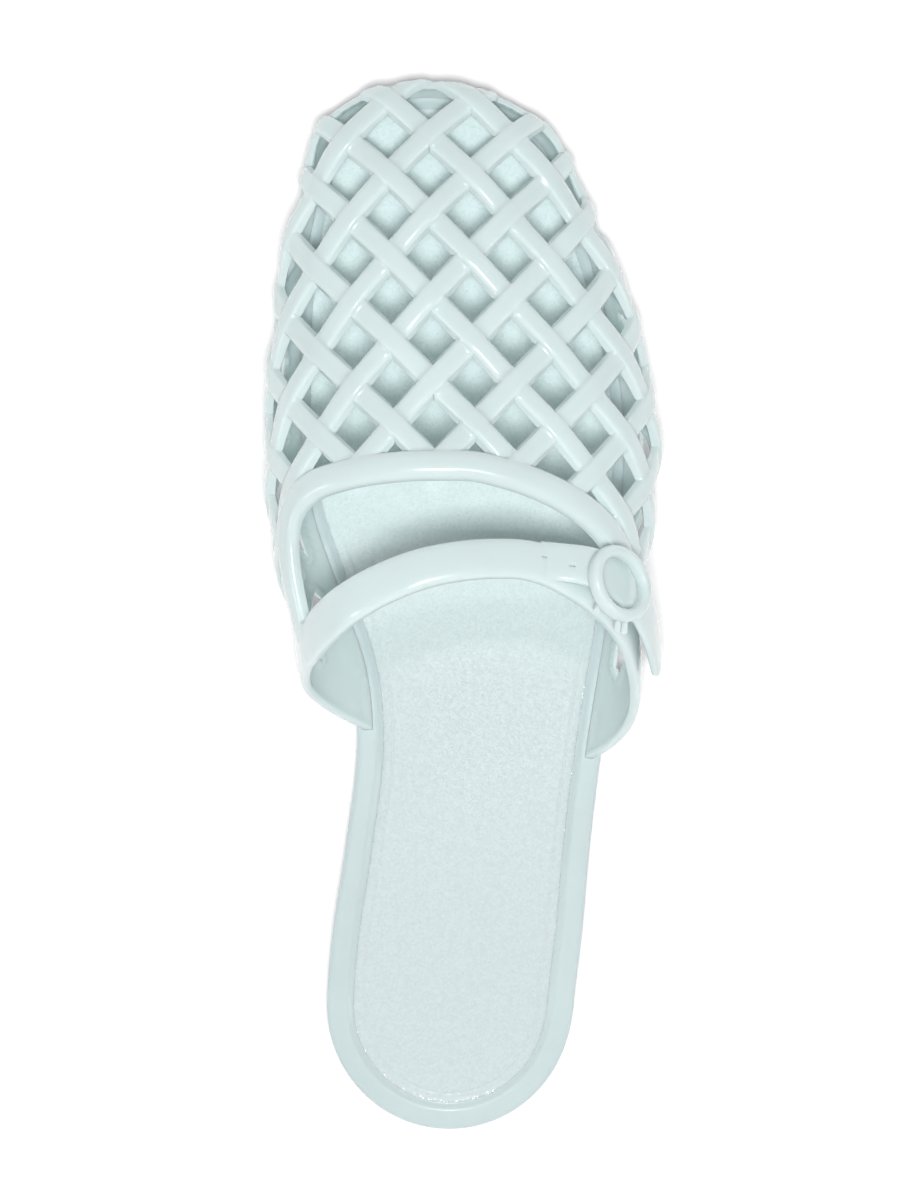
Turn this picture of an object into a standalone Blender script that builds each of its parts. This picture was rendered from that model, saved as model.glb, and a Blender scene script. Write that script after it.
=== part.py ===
"""Moulded jelly mule sandal, right shoe: outsole, insole, woven upper and ring buckle.

The shoe points its toe to +Y and its lateral side to +X. Lengths in the tables and constants are
millimetres, and stations are measured from the back of the heel.
"""
import math

import bmesh
import bpy
import numpy as np
from mathutils import Vector
from mathutils.geometry import delaunay_2d_cdt

MM = 0.001
GAP = 0.3

# Driving sizes of the shoe
LENGTH = 255.0
HEEL_ROUND = 30.0
TOE_ROUND = 17.0
TOE_POWER = 2.2

# Sole outline, outer edge of the rim
SOLE_COLUMNS = ("station", "medial", "lateral")
SOLE_ROWS = (
    (0.0, -33.0, 26.6),
    (28.6, -33.0, 27.0),
    (46.5, -31.8, 29.1),
    (68.3, -28.6, 31.1),
    (95.0, -25.7, 34.5),
    (112.0, -27.4, 37.3),
    (130.0, -33.6, 40.2),
    (150.0, -40.4, 42.6),
    (170.0, -43.3, 43.5),
    (190.0, -43.4, 40.9),
    (212.0, -42.0, 35.2),
    (232.0, -38.3, 27.4),
    (255.0, -34.5, 16.8),
)

# Sole heights: underside, top of the rim
HEIGHT_COLUMNS = ("station", "bottom", "rim")
HEIGHT_ROWS = (
    (0.0, 0.0, 15.5),
    (30.0, 0.0, 15.0),
    (60.0, 0.0, 13.8),
    (78.0, 1.0, 12.6),
    (98.0, 1.9, 11.2),
    (120.0, 0.9, 10.0),
    (140.0, 0.0, 9.4),
    (175.0, 0.0, 9.0),
    (208.0, 0.0, 9.2),
    (232.0, 1.6, 10.6),
    (255.0, 4.8, 13.6),
)

# Upper: widest line of the wall on each side, and height of its crest
UPPER_COLUMNS = ("station", "medial", "lateral", "crest")
UPPER_ROWS = (
    (70.0, -36.0, 41.5, 84.0),
    (105.0, -38.2, 42.3, 79.0),
    (120.0, -40.2, 43.0, 74.5),
    (137.0, -44.9, 44.6, 68.0),
    (150.0, -46.9, 46.4, 62.0),
    (165.0, -47.7, 47.8, 55.5),
    (180.0, -47.6, 46.2, 49.5),
    (202.0, -45.5, 40.9, 42.5),
    (215.0, -43.8, 36.0, 38.8),
    (232.0, -39.3, 28.3, 34.0),
    (255.0, -34.6, 17.0, 28.0),
)
CREST_X = -6.7
CREST_STATION = 171.0
CREST_SLOPE = -0.029
FAN_STATION = 217.0
BACK_STATION = 72.0
WIDEST_FRACTION = 0.35
DOME_POWER = 2.1
SEAT_INSET = 1.6

# Steps of the last's grid: along a section, rows of a section, turns of each half of the toe, stations
PROFILE_STEPS = 48
GRID_ROWS = 64
FAN_STEPS = 40
STATION_STEPS = 72

# Woven vamp, in the flat pattern: half pitches of the gaps, first row, sag of the rows to each side
GAP_STEP_P = 9.75
GAP_STEP_Q = 10.65
GAP_ROW_START = -5.6
SAG_MEDIAL = 0.0035
SAG_LATERAL = 0.0014
SAG_REACH_MEDIAL = 48.0
SAG_REACH_LATERAL = 70.0
TOE_SPREAD = 0.0045
STRIP_WIDTH = 5.1
STRIP_CROWN = 1.1
STRIP_PITCH = 2.0 * GAP_STEP_P * GAP_STEP_Q / math.hypot(GAP_STEP_P, GAP_STEP_Q)
GAP_HALF = 0.5 * (1.0 - STRIP_WIDTH / STRIP_PITCH)
GAP_CORNERS = ((1, 1), (1, 0), (1, -1), (0, -1), (-1, -1), (-1, 0), (-1, 1), (0, 1))
WEAVE_RISE = 0.35
WEAVE_REACH = 14
WALL = 2.4
SMALLEST_GAP_AREA = 7.0
FOOT_BAND = 5.5
FOOT_LIFT = -0.5
FOOT_TURN = 6.0

# Centre lines of the bands in the flat pattern, from the medial side to the lateral side
LINE_COLUMNS = ("p", "q")
COLLAR_ROWS = (
    (-46.5, -108.0),
    (-45.8, -97.0),
    (-45.0, -87.0),
    (-43.6, -78.5),
    (-39.8, -70.8),
    (-33.0, -65.4),
    (-22.0, -61.7),
    (-8.0, -59.6),
    (6.0, -59.3),
    (18.0, -61.8),
    (30.0, -66.9),
    (39.5, -73.2),
    (46.5, -80.0),
    (52.0, -88.0),
    (56.0, -98.0),
)
COLLAR_WIDTH = 7.2
COLLAR_LIFT = 1.2
COLLAR_CROWN = 2.0
BACK_ROWS = (
    (-104.0, -127.5),
    (-80.5, -118.6),
    (-65.5, -112.5),
    (-52.0, -107.8),
    (-41.0, -104.3),
    (-33.5, -100.6),
    (-24.0, -95.2),
    (-13.5, -89.8),
    (-4.0, -86.0),
    (8.0, -83.5),
    (19.0, -83.5),
    (27.0, -85.4),
    (34.0, -88.8),
    (41.0, -92.6),
    (48.0, -97.0),
    (56.0, -102.6),
    (64.0, -109.0),
    (78.0, -118.9),
    (93.0, -127.0),
    (112.0, -134.0),
)
STRAP_WIDTH = 9.8
STRAP_LIFT = 0.4
STRAP_CROWN = 1.0
# Where across a band its lines of relief run, as shares of its half width
BAND_SHARES = (-0.6, 0.0, 0.6, 1.0)

# Free end of the strap: its centre line, and the height of its underside over the last
TAIL_ROWS = (
    (24.0, -83.9),
    (31.0, -85.2),
    (40.0, -88.2),
    (48.0, -92.4),
    (56.0, -98.2),
    (64.0, -105.2),
    (69.8, -110.8),
)
TAIL_HEIGHT_COLUMNS = ("along", "underside")
TAIL_HEIGHT_ROWS = (
    (0.0, -2.3),
    (5.0, -1.4),
    (12.0, 1.2),
    (20.0, 1.6),
    (36.0, 1.6),
    (46.0, 2.0),
    (56.0, 2.9),
)
TAIL_THICKNESS = 2.4
TAIL_ROUND = 0.8
TAIL_LOWER_CORNER = 0.3
TAIL_UPPER_CORNER = 1.0
TAIL_SHOULDER = 0.2
TAIL_TIP_ROUND = 2.2
TAIL_STEPS = 18
TIP_STEPS = 4

# Ring buckle on the strap
RING_PLACE = (41.2, -92.1)
RING_LEAN = 0.1
RING_RADIUS = 7.8
RING_HALF_WIDTH = 1.5
RING_HALF_HEIGHT = 1.8
RING_TURNS = 40
RING_SIDES = 12
RING_SAMPLE_REACH = 11.0
RING_SAMPLES = 45
LEG_RADIUS = 0.8
LEG_SIDES = 10
# Root and tip of each leg, from the ring's middle: along the strap, across it and outward
LEG_ROWS = (
    ((-4.6, -6.3, 0.0), (-3.0, -7.8, -3.2)),
    ((1.0, -7.7, 0.0), (3.9, -9.8, -3.0)),
    ((3.0, -7.2, 0.0), (6.0, -9.2, -3.0)),
)

# Sole section: rounded edge of the underside as insets and heights, side, rim bead, recess, sock sheet
EDGE_ROWS = (
    (2.4, 0.0),
    (0.7, 0.6),
    (0.2, 2.2),
)
SIDE_TOP = 2.5
RIM_WIDTH = 6.5
RIM_ROUND = 1.5
RIM_SOFT = 0.45
FOOTBED_DEPTH = 1.6
INSOLE_THICKNESS = 2.4
INSOLE_ROUND = 0.6
SOLE_STEPS = 40

# Steps and tolerances
BISECTIONS = 40
LINE_SAMPLES = 400
FINE_STEP = 1.5
BAND_STEP = 4.0
FEATHER_STEP = 3
CLOSE = 0.7
RELIEF_CLEAR = 1.0
EDGE_SLACK = 0.02
MERGE = 0.05
TINY = 1e-9
SHARP_ANGLE = 40.0

# Colours in linear light, and roughness, of each moulding
SOLE_COLOUR = (0.62, 0.76, 0.77)
SOLE_ROUGHNESS = 0.30
INSOLE_COLOUR = (0.70, 0.78, 0.80)
INSOLE_ROUGHNESS = 0.38
UPPER_COLOUR = (0.64, 0.78, 0.79)
UPPER_ROUGHNESS = 0.25
BUCKLE_COLOUR = (0.66, 0.79, 0.80)
BUCKLE_ROUGHNESS = 0.22


def table_curve(rows, column):
    """A smooth curve through one column of a table, as a function of the station."""
    stations = np.array([row[0] for row in rows])
    values = np.array([row[column] for row in rows])
    slopes = np.gradient(values, stations)
    steps = np.diff(values)
    slopes[1:-1][steps[1:] * steps[:-1] <= 0.0] = 0.0

    def at(station):
        station = np.clip(np.asarray(station, float), stations[0], stations[-1])
        low = np.clip(np.searchsorted(stations, station, side="right") - 1, 0, len(stations) - 2)
        span = stations[low + 1] - stations[low]
        t = (station - stations[low]) / span
        rise = t * t * (3.0 - 2.0 * t)
        return (values[low] * (1.0 - rise) + values[low + 1] * rise
                + span * (slopes[low] * t * (1.0 - t) ** 2 - slopes[low + 1] * t * t * (1.0 - t)))

    return at


sole_medial = table_curve(SOLE_ROWS, SOLE_COLUMNS.index("medial"))
sole_lateral = table_curve(SOLE_ROWS, SOLE_COLUMNS.index("lateral"))
sole_bottom = table_curve(HEIGHT_ROWS, HEIGHT_COLUMNS.index("bottom"))
rim_height = table_curve(HEIGHT_ROWS, HEIGHT_COLUMNS.index("rim"))
upper_medial = table_curve(UPPER_ROWS, UPPER_COLUMNS.index("medial"))
upper_lateral = table_curve(UPPER_ROWS, UPPER_COLUMNS.index("lateral"))
crest_height = table_curve(UPPER_ROWS, UPPER_COLUMNS.index("crest"))


def end_rounding(station):
    """Share of the full width that the round heel and toe leave at a station."""
    heel = np.clip(np.asarray(station) / HEEL_ROUND, 0.0, 1.0)
    toe = np.clip((LENGTH - np.asarray(station)) / TOE_ROUND, 0.0, 1.0)
    return np.sqrt(1.0 - (1.0 - heel) ** 2) * (1.0 - (1.0 - toe) ** TOE_POWER) ** (1.0 / TOE_POWER)


def sides(medial, lateral, station):
    """Medial and lateral edges of a rounded outline at a station."""
    left, right = medial(station), lateral(station)
    middle = 0.5 * (left + right)
    half = 0.5 * (right - left) * end_rounding(station)
    return middle - half, middle + half


def crest_x(station):
    return CREST_X + CREST_SLOPE * (np.asarray(station) - CREST_STATION)


def reach(outline, x, station, toward_x, toward_station):
    """Distance from a point inside an outline to its edge, along a direction."""
    low, high = 0.0, LENGTH
    for _ in range(BISECTIONS):
        middle = 0.5 * (low + high)
        at = station + toward_station * middle
        left, right = sides(*outline, at)
        inside = at < LENGTH and left < x + toward_x * middle < right
        low, high = (middle, high) if inside else (low, middle)
    return low


def meridian(x, station, toward_x, toward_station):
    """Points of the last from the crest to the feather edge, along one direction in plan."""
    widest = reach((upper_medial, upper_lateral), x, station, toward_x, toward_station)
    foot = reach((sole_medial, sole_lateral), x, station, toward_x, toward_station) - SEAT_INSET
    turn = np.linspace(0.0, 0.5 * math.pi, PROFILE_STEPS)
    fall = np.linspace(0.0, 1.0, PROFILE_STEPS // 2)[1:]
    power = 2.0 / DOME_POWER
    plan = np.concatenate([widest * np.sin(turn) ** power, widest - (widest - foot) * fall ** 2])
    share = np.concatenate([
        WIDEST_FRACTION + (1.0 - WIDEST_FRACTION) * np.cos(turn).clip(0.0) ** power,
        WIDEST_FRACTION * (1.0 - fall)])
    along = station + toward_station * plan
    base = rim_height(along) + GAP
    height = base + (crest_height(along) - base) * share
    return np.stack([x + toward_x * plan, along - 0.5 * LENGTH, height], axis=1)


class Last:
    """The surface that the upper is moulded on, addressed by its flat pattern.

    In the pattern, p runs sideways from the crest line and q runs forward from the middle of the toe.
    Behind that middle, p is the girth from the crest. In front of it, the pattern fans out.
    """

    def __init__(self):
        stations = np.linspace(BACK_STATION, FAN_STATION, STATION_STEPS)
        crest = np.stack([crest_x(stations), stations, crest_height(stations)], axis=1)
        steps = np.linalg.norm(np.diff(crest, axis=0), axis=1)
        self.crest_q = np.concatenate([[0.0], np.cumsum(steps)])
        self.crest_q -= self.crest_q[-1]
        turns = np.linspace(-0.5 * math.pi, 0.5 * math.pi, 2 * FAN_STEPS + 1)
        chain = [(crest_x(s), s, -1.0, 0.0) for s in stations[:-1]]
        chain += [(crest_x(FAN_STATION), FAN_STATION, math.sin(t), math.cos(t)) for t in turns]
        chain += [(crest_x(s), s, 1.0, 0.0) for s in stations[-2::-1]]
        shares = np.linspace(0.0, 1.0, GRID_ROWS)
        self.points = np.empty((len(chain), GRID_ROWS, 3))
        self.girth = np.empty(len(chain))
        for row, place in enumerate(chain):
            line = meridian(*place)
            arc = np.concatenate([[0.0], np.cumsum(np.linalg.norm(np.diff(line, axis=0), axis=1))])
            self.girth[row] = arc[-1]
            for axis in range(3):
                self.points[row, :, axis] = np.interp(shares * arc[-1], arc, line[:, axis])
        self.normals = self.grid_normals()

    def grid_normals(self):
        """Outward unit normals at the grid points."""
        across = np.gradient(self.points, axis=1)
        along = np.gradient(self.points, axis=0)
        along[:, 0] = along[:, 1]
        normals = np.cross(along, across)
        normals /= np.linalg.norm(normals, axis=2, keepdims=True)
        return normals

    def locate(self, p, q):
        """Row of the grid, girth from the crest and girth left to the feather edge."""
        p, q = np.broadcast_arrays(np.asarray(p, float), np.asarray(q, float))
        last = len(self.girth) - 1
        behind = np.interp(np.minimum(q, 0.0), self.crest_q, np.arange(STATION_STEPS, dtype=float))
        behind = np.where(p < 0.0, behind, last - behind)
        turn = np.arctan2(p, np.maximum(q, TINY))
        front = STATION_STEPS - 1 + (turn / (0.5 * math.pi) + 1.0) * FAN_STEPS
        row = np.where(q > 0.0, front, behind)
        arc = np.where(q > 0.0, np.hypot(p, q), np.abs(p))
        girth = np.interp(row, np.arange(last + 1), self.girth)
        return row, arc, girth - arc

    def blend(self, grid, row, share):
        low = np.clip(np.floor(row).astype(int), 0, len(self.girth) - 2)
        step = np.clip(np.floor(share * (GRID_ROWS - 1)).astype(int), 0, GRID_ROWS - 2)
        u = (row - low)[..., None]
        v = (share * (GRID_ROWS - 1) - step)[..., None]
        near = grid[low, step] * (1.0 - v) + grid[low, step + 1] * v
        far = grid[low + 1, step] * (1.0 - v) + grid[low + 1, step + 1] * v
        return near * (1.0 - u) + far * u

    def at(self, p, q):
        """Point and outward normal for each place in the pattern."""
        row, arc, left = self.locate(p, q)
        share = arc / (arc + left)
        normal = self.blend(self.normals, row, share)
        return self.blend(self.points, row, share), normal / np.linalg.norm(normal, axis=-1)[..., None]


LAST = Last()


def pattern_line(rows, spacing):
    """Points at an even spacing along a smooth line through the rows of a table."""
    rows = np.array(rows)
    chord = np.concatenate([[0.0], np.cumsum(np.linalg.norm(np.diff(rows, axis=0), axis=1))])
    fine = np.linspace(0.0, chord[-1], LINE_SAMPLES)
    curve = np.stack([
        table_curve(np.stack([chord, rows[:, column]], axis=1), 1)(fine)
        for column in range(len(LINE_COLUMNS))], axis=1)
    length = np.concatenate([[0.0], np.cumsum(np.linalg.norm(np.diff(curve, axis=0), axis=1))])
    count = max(2, round(length[-1] / spacing))
    at = np.linspace(0.0, length[-1], count + 1)
    return np.stack([np.interp(at, length, values) for values in curve.T], axis=1)


def line_normals(line):
    """Unit normals to the left of a line of points."""
    along = np.gradient(line, axis=0)
    along /= np.linalg.norm(along, axis=1, keepdims=True)
    return np.stack([-along[:, 1], along[:, 0]], axis=1)


def beside(line, distance):
    return line + line_normals(line) * distance


def side_distance(line, points):
    """Distance of each point from a line, positive to its left, and how far along it the point lies."""
    points = np.atleast_2d(points)
    start, step = line[:-1], np.diff(line, axis=0)
    size = np.linalg.norm(step, axis=1)
    offset = points[:, None, :] - start[None]
    share = np.clip((offset * step).sum(2) / size ** 2, 0.0, 1.0)
    gap = offset - share[..., None] * step
    apart = np.linalg.norm(gap, axis=2)
    best = np.argmin(apart, axis=1)
    pick = np.arange(len(points))
    side = step[best, 0] * offset[pick, best, 1] - step[best, 1] * offset[pick, best, 0]
    travelled = np.concatenate([[0.0], np.cumsum(size)])[best] + share[pick, best] * size[best]
    return np.where(side < 0.0, -1.0, 1.0) * apart[pick, best], travelled


COLLAR_LINE = pattern_line(COLLAR_ROWS, FINE_STEP)
BACK_LINE = pattern_line(BACK_ROWS, FINE_STEP)
TAIL_LINE = pattern_line(TAIL_ROWS, FINE_STEP)


def collar_side(points):
    return side_distance(COLLAR_LINE, points)[0]


def back_side(points):
    return side_distance(BACK_LINE, points)[0]


def foot_girth(points):
    """Girth from each place in the pattern down to the feather edge."""
    points = np.atleast_2d(points)
    return LAST.locate(points[:, 0], points[:, 1])[2]


def row_sag(p):
    medial = SAG_MEDIAL * np.minimum(np.abs(p), SAG_REACH_MEDIAL) ** 2
    lateral = SAG_LATERAL * np.minimum(np.abs(p), SAG_REACH_LATERAL) ** 2
    return np.where(p < 0.0, medial, lateral)


def weave_to_pattern(a, b):
    """Pattern place of a weave place. Gaps are centred on whole a and b, strips halfway between."""
    a, b = np.asarray(a, float), np.asarray(b, float)
    p = GAP_STEP_P * (a + b)
    q = GAP_ROW_START + GAP_STEP_Q * (a - b) - row_sag(p)
    return np.stack([p * (1.0 + TOE_SPREAD * np.maximum(q, 0.0)), q], axis=-1)


def pattern_to_weave(points):
    p = points[:, 0] / (1.0 + TOE_SPREAD * np.maximum(points[:, 1], 0.0))
    across = p / GAP_STEP_P
    forward = (points[:, 1] + row_sag(p) - GAP_ROW_START) / GAP_STEP_Q
    return 0.5 * (across + forward), 0.5 * (across - forward)


def strip_lift(across, along, sign):
    """Lift of one family of strips: a rounded crown that rises over and dips under the other family."""
    line = np.floor(across)
    offset = np.abs(across - line - 0.5) * STRIP_PITCH / (0.5 * STRIP_WIDTH)
    parity = np.where(line % 2 == 0, 1.0, -1.0)
    rise = sign * parity * WEAVE_RISE * np.cos(math.pi * (along - 0.5))
    crown = STRIP_CROWN * np.minimum(offset, 1.0) ** 2
    return np.where(offset < 1.0 + EDGE_SLACK, rise - crown, -STRIP_CROWN)


def crowned(offset, half, lift, crown):
    """Lift of a band with a rounded top, and nothing beside it."""
    share = np.abs(offset) / half
    return np.where(share < 1.0 + EDGE_SLACK, lift - crown * share ** 3, -WALL)


def wall_lift(points):
    """Lift of the outer face from the last at each place in the pattern."""
    a, b = pattern_to_weave(points)
    lift = np.maximum(strip_lift(a, b, 1.0), strip_lift(b, a, -1.0))
    lift = np.where(foot_girth(points) < FOOT_BAND + EDGE_SLACK, FOOT_LIFT, lift)
    lift = np.maximum(lift, crowned(collar_side(points), 0.5 * COLLAR_WIDTH, COLLAR_LIFT, COLLAR_CROWN))
    return np.maximum(lift, crowned(back_side(points), 0.5 * STRAP_WIDTH, STRAP_LIFT, STRAP_CROWN))


def clip_loop(loop, field):
    """The part of a small closed loop where a field is positive."""
    kept = []
    values = field(np.array(loop))
    for index, place in enumerate(loop):
        other = loop[(index + 1) % len(loop)]
        here, there = values[index], values[(index + 1) % len(loop)]
        if here >= 0.0:
            kept.append(place)
        if here * there < 0.0:
            kept.append(crossing(place, other, here, field))
    return kept


def crossing(start, end, start_value, field):
    """Place between two points where a field changes sign."""
    start, end = np.array(start), np.array(end)
    for _ in range(BISECTIONS):
        middle = 0.5 * (start + end)
        if field(middle)[0] * start_value > 0.0:
            start = middle
        else:
            end = middle
    return tuple(0.5 * (start + end))


def loop_area(loop):
    x, y = np.array(loop).T
    return 0.5 * abs(np.dot(x, np.roll(y, -1)) - np.dot(y, np.roll(x, -1)))


def drop_close_points(loop, apart):
    """A closed loop without points that lie almost on their neighbour."""
    kept = []
    for place in loop:
        if not kept or math.dist(place, kept[-1]) > apart:
            kept.append(place)
    while len(kept) > 3 and math.dist(kept[0], kept[-1]) <= apart:
        kept.pop()
    return kept


def weave_gaps():
    """Outlines of the gaps of the weave, cut where they meet the bands and the foot of the wall."""
    corners = [(GAP_HALF * da, GAP_HALF * db) for da, db in GAP_CORNERS]
    fields = (
        lambda points: foot_girth(points) - FOOT_BAND,
        lambda points: collar_side(points) - 0.5 * COLLAR_WIDTH,
        lambda points: back_side(points) - 0.5 * STRAP_WIDTH,
    )
    gaps = []
    for a in range(-WEAVE_REACH, WEAVE_REACH + 1):
        for b in range(-WEAVE_REACH, WEAVE_REACH + 1):
            loop = [tuple(weave_to_pattern(a + da, b + db)) for da, db in corners]
            for field in fields:
                loop = clip_loop(loop, field) if len(loop) > 2 else []
            loop = drop_close_points(loop, CLOSE)
            if len(loop) > 2 and loop_area(loop) > SMALLEST_GAP_AREA:
                gaps.append(loop)
    return gaps


def throat_opening():
    """Outline of the open throat, between the collar and the strap."""
    collar = beside(pattern_line(COLLAR_ROWS, BAND_STEP), -0.5 * COLLAR_WIDTH)
    strap = beside(pattern_line(BACK_ROWS, BAND_STEP), 0.5 * STRAP_WIDTH)
    collar = collar[back_side(collar) > 0.5 * STRAP_WIDTH + CLOSE]
    strap = strap[collar_side(strap) < -0.5 * COLLAR_WIDTH - CLOSE]
    return [tuple(place) for place in np.concatenate([collar, strap[::-1]])]


def girth_line(short):
    """A line in the pattern that runs around the wall, a little short of its feather edge."""
    rows = np.arange(0, len(LAST.girth), FEATHER_STEP)
    mirrored = np.minimum(rows, len(LAST.girth) - 1 - rows)
    turns = (rows - STATION_STEPS + 1) / FAN_STEPS - 1.0
    fan = np.abs(turns) < 1.0
    sideways = np.where(fan, np.sin(turns * 0.5 * math.pi), np.sign(turns))
    arc = LAST.girth[rows] - short
    behind = LAST.crest_q[np.minimum(mirrored, STATION_STEPS - 1)]
    forward = np.where(fan, arc * np.cos(turns * 0.5 * math.pi), behind)
    return np.stack([arc * sideways, forward], axis=1)


def wall_outline():
    """Outline of the whole wall: its feather edge, and the back edge of the straps."""
    feather = girth_line(0.0)
    back_edge = beside(pattern_line(BACK_ROWS, BAND_STEP), -0.5 * STRAP_WIDTH)

    def in_front(points):
        return back_side(points) + 0.5 * STRAP_WIDTH

    inside = np.nonzero(in_front(feather) > 0.0)[0]
    first, final = inside[0], inside[-1]
    medial = crossing(feather[first - 1], feather[first], in_front(feather[first - 1])[0], in_front)
    lateral = crossing(feather[final], feather[final + 1], in_front(feather[final])[0], in_front)
    back_edge = back_edge[foot_girth(back_edge) > CLOSE]
    loop = [medial, *map(tuple, feather[first:final + 1]), lateral, *map(tuple, back_edge[::-1])]
    return drop_close_points(loop, CLOSE)


def inside_loop(loop, points):
    """Whether each point lies inside a closed loop."""
    loop = np.array(loop)
    ahead = np.roll(loop, -1, axis=0)
    x, y = points[:, :1], points[:, 1:]
    straddles = (loop[:, 1] > y) != (ahead[:, 1] > y)
    rise = np.where(ahead[:, 1] == loop[:, 1], TINY, ahead[:, 1] - loop[:, 1])
    at = loop[:, 0] + (y - loop[:, 1]) * (ahead[:, 0] - loop[:, 0]) / rise
    return np.sum(straddles & (x < at), axis=1) % 2 == 1


def relief_points():
    """Places along the strips that carry their crowns: crossings, their edges and middles of spans."""
    edge = 0.5 * STRIP_WIDTH / STRIP_PITCH
    offsets = ((0.0, 0.0), (edge, 0.0), (-edge, 0.0), (0.0, edge), (0.0, -edge), (0.5, 0.0), (0.0, 0.5))
    middles = np.arange(-WEAVE_REACH, WEAVE_REACH) + 0.5
    crossings = [(a, b) for a in middles for b in middles]
    places = np.array([weave_to_pattern(a + da, b + db) for a, b in crossings for da, db in offsets])
    clear = foot_girth(places) > FOOT_BAND + RELIEF_CLEAR
    clear &= collar_side(places) > 0.5 * COLLAR_WIDTH + RELIEF_CLEAR
    clear &= back_side(places) > 0.5 * STRAP_WIDTH + RELIEF_CLEAR
    return places[clear]


def relief_lines():
    """Lines along the collar and the straps that carry their rounded tops."""
    lines = []
    collar = pattern_line(COLLAR_ROWS, BAND_STEP)
    for share in BAND_SHARES:
        line = beside(collar, share * 0.5 * COLLAR_WIDTH)
        lines.append(line[back_side(line) > 0.5 * STRAP_WIDTH + CLOSE])
    back = pattern_line(BACK_ROWS, BAND_STEP)
    for share in BAND_SHARES:
        line = beside(back, share * 0.5 * STRAP_WIDTH)
        clear = foot_girth(line) > CLOSE
        if share == max(BAND_SHARES):
            clear &= collar_side(line) > CLOSE - 0.5 * COLLAR_WIDTH
        for run in np.split(np.arange(len(line)), np.nonzero(~clear)[0]):
            run = run[clear[run]]
            if len(run) > 1:
                lines.append(line[run])
    return lines


def foot_line():
    line = girth_line(FOOT_BAND)
    return line[back_side(line) > 0.5 * STRAP_WIDTH + CLOSE]


def upper_mesh():
    """Points and triangles of the upper: the pattern is divided into triangles, then given its wall."""
    outline, throat, gaps = wall_outline(), throat_opening(), weave_gaps()
    places, edges = [], []

    def add(line, closed):
        first = len(places)
        places.extend(tuple(place) for place in line)
        edges.extend((first + i, first + i + 1) for i in range(len(line) - 1))
        if closed:
            edges.append((first + len(line) - 1, first))

    for loop in (outline, throat, *gaps):
        add(loop, True)
    for line in (*relief_lines(), foot_line()):
        add(line, False)
    places.extend(tuple(place) for place in relief_points())
    flat, _, triangles, *_ = delaunay_2d_cdt([Vector(place) for place in places], edges, [], 0, MERGE)
    flat = np.array([tuple(place) for place in flat])
    triangles = np.array([tuple(triangle) for triangle in triangles])
    centres = flat[triangles].mean(axis=1)
    solid = inside_loop(outline, centres)
    for loop in (throat, *gaps):
        solid &= ~inside_loop(loop, centres)
    return thicken(flat, triangles[solid])


def thicken(flat, triangles):
    """A closed wall over a divided pattern: outer face with its relief, plain inner face, edges."""
    used, triangles = np.unique(triangles, return_inverse=True)
    triangles = triangles.reshape(-1, 3)
    flat = flat[used]
    points, normals = LAST.at(flat[:, 0], flat[:, 1])
    normals[:, 2] *= np.clip(foot_girth(flat) / FOOT_TURN, 0.0, 1.0)
    normals /= np.linalg.norm(normals, axis=1, keepdims=True)
    outer = points + normals * wall_lift(flat)[:, None]
    inner = points - normals * WALL
    count = len(flat)
    borders = {(a, b) for tri in triangles for a, b in zip(tri, np.roll(tri, -1))}
    faces = [tuple(tri) for tri in triangles]
    faces += [tuple(tri[::-1] + count) for tri in triangles]
    faces += [(b, a, a + count, b + count) for a, b in borders if (b, a) not in borders]
    return np.concatenate([outer, inner]), faces


tail_underside = table_curve(TAIL_HEIGHT_ROWS, TAIL_HEIGHT_COLUMNS.index("underside"))


def strap_section():
    """Corners of the strap's section: place across it and height over its underside."""
    half = 0.5 * STRAP_WIDTH
    right = [
        (half - TAIL_ROUND, 0.0),
        (half, TAIL_LOWER_CORNER),
        (half, TAIL_THICKNESS - TAIL_UPPER_CORNER),
        (half - TAIL_ROUND, TAIL_THICKNESS - TAIL_SHOULDER),
    ]
    left = [(-across, height) for across, height in right[::-1]]
    return np.array(right + [(0.0, TAIL_THICKNESS)] + left)


def tail_mesh():
    """Free end of the strap: it climbs over the short strap and stands off at its rounded tip."""
    travelled = np.concatenate([[0.0], np.cumsum(np.linalg.norm(np.diff(TAIL_LINE, axis=0), axis=1))])
    length = travelled[-1]
    tip = length - TAIL_TIP_ROUND * (1.0 - np.sin(np.linspace(0.0, 0.5 * math.pi, TIP_STEPS)))
    stops = np.concatenate([np.linspace(0.0, length - TAIL_TIP_ROUND, TAIL_STEPS)[:-1], tip])
    left = line_normals(TAIL_LINE)
    section = strap_section()
    points, faces, size = [], [], len(section)
    for stop in stops:
        past = max(0.0, stop - length + TAIL_TIP_ROUND)
        drawn = TAIL_TIP_ROUND - math.sqrt(TAIL_TIP_ROUND ** 2 - past ** 2)
        width = 1.0 - drawn / (0.5 * STRAP_WIDTH)
        centre = [np.interp(stop, travelled, values) for values in TAIL_LINE.T]
        normal = [np.interp(stop, travelled, values) for values in left.T]
        flat = np.array(centre) + section[:, :1] * width * np.array(normal)
        base, out = LAST.at(flat[:, 0], flat[:, 1])
        points.append(base + out * (tail_underside(stop) + section[:, 1:]))
    for row in range(len(stops) - 1):
        near, far = row * size, (row + 1) * size
        faces += [(near + i, near + (i + 1) % size, far + (i + 1) % size, far + i) for i in range(size)]
    faces += [tuple(range(size))[::-1], tuple(range((len(stops) - 1) * size, len(stops) * size))]
    return np.concatenate(points), faces


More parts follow.
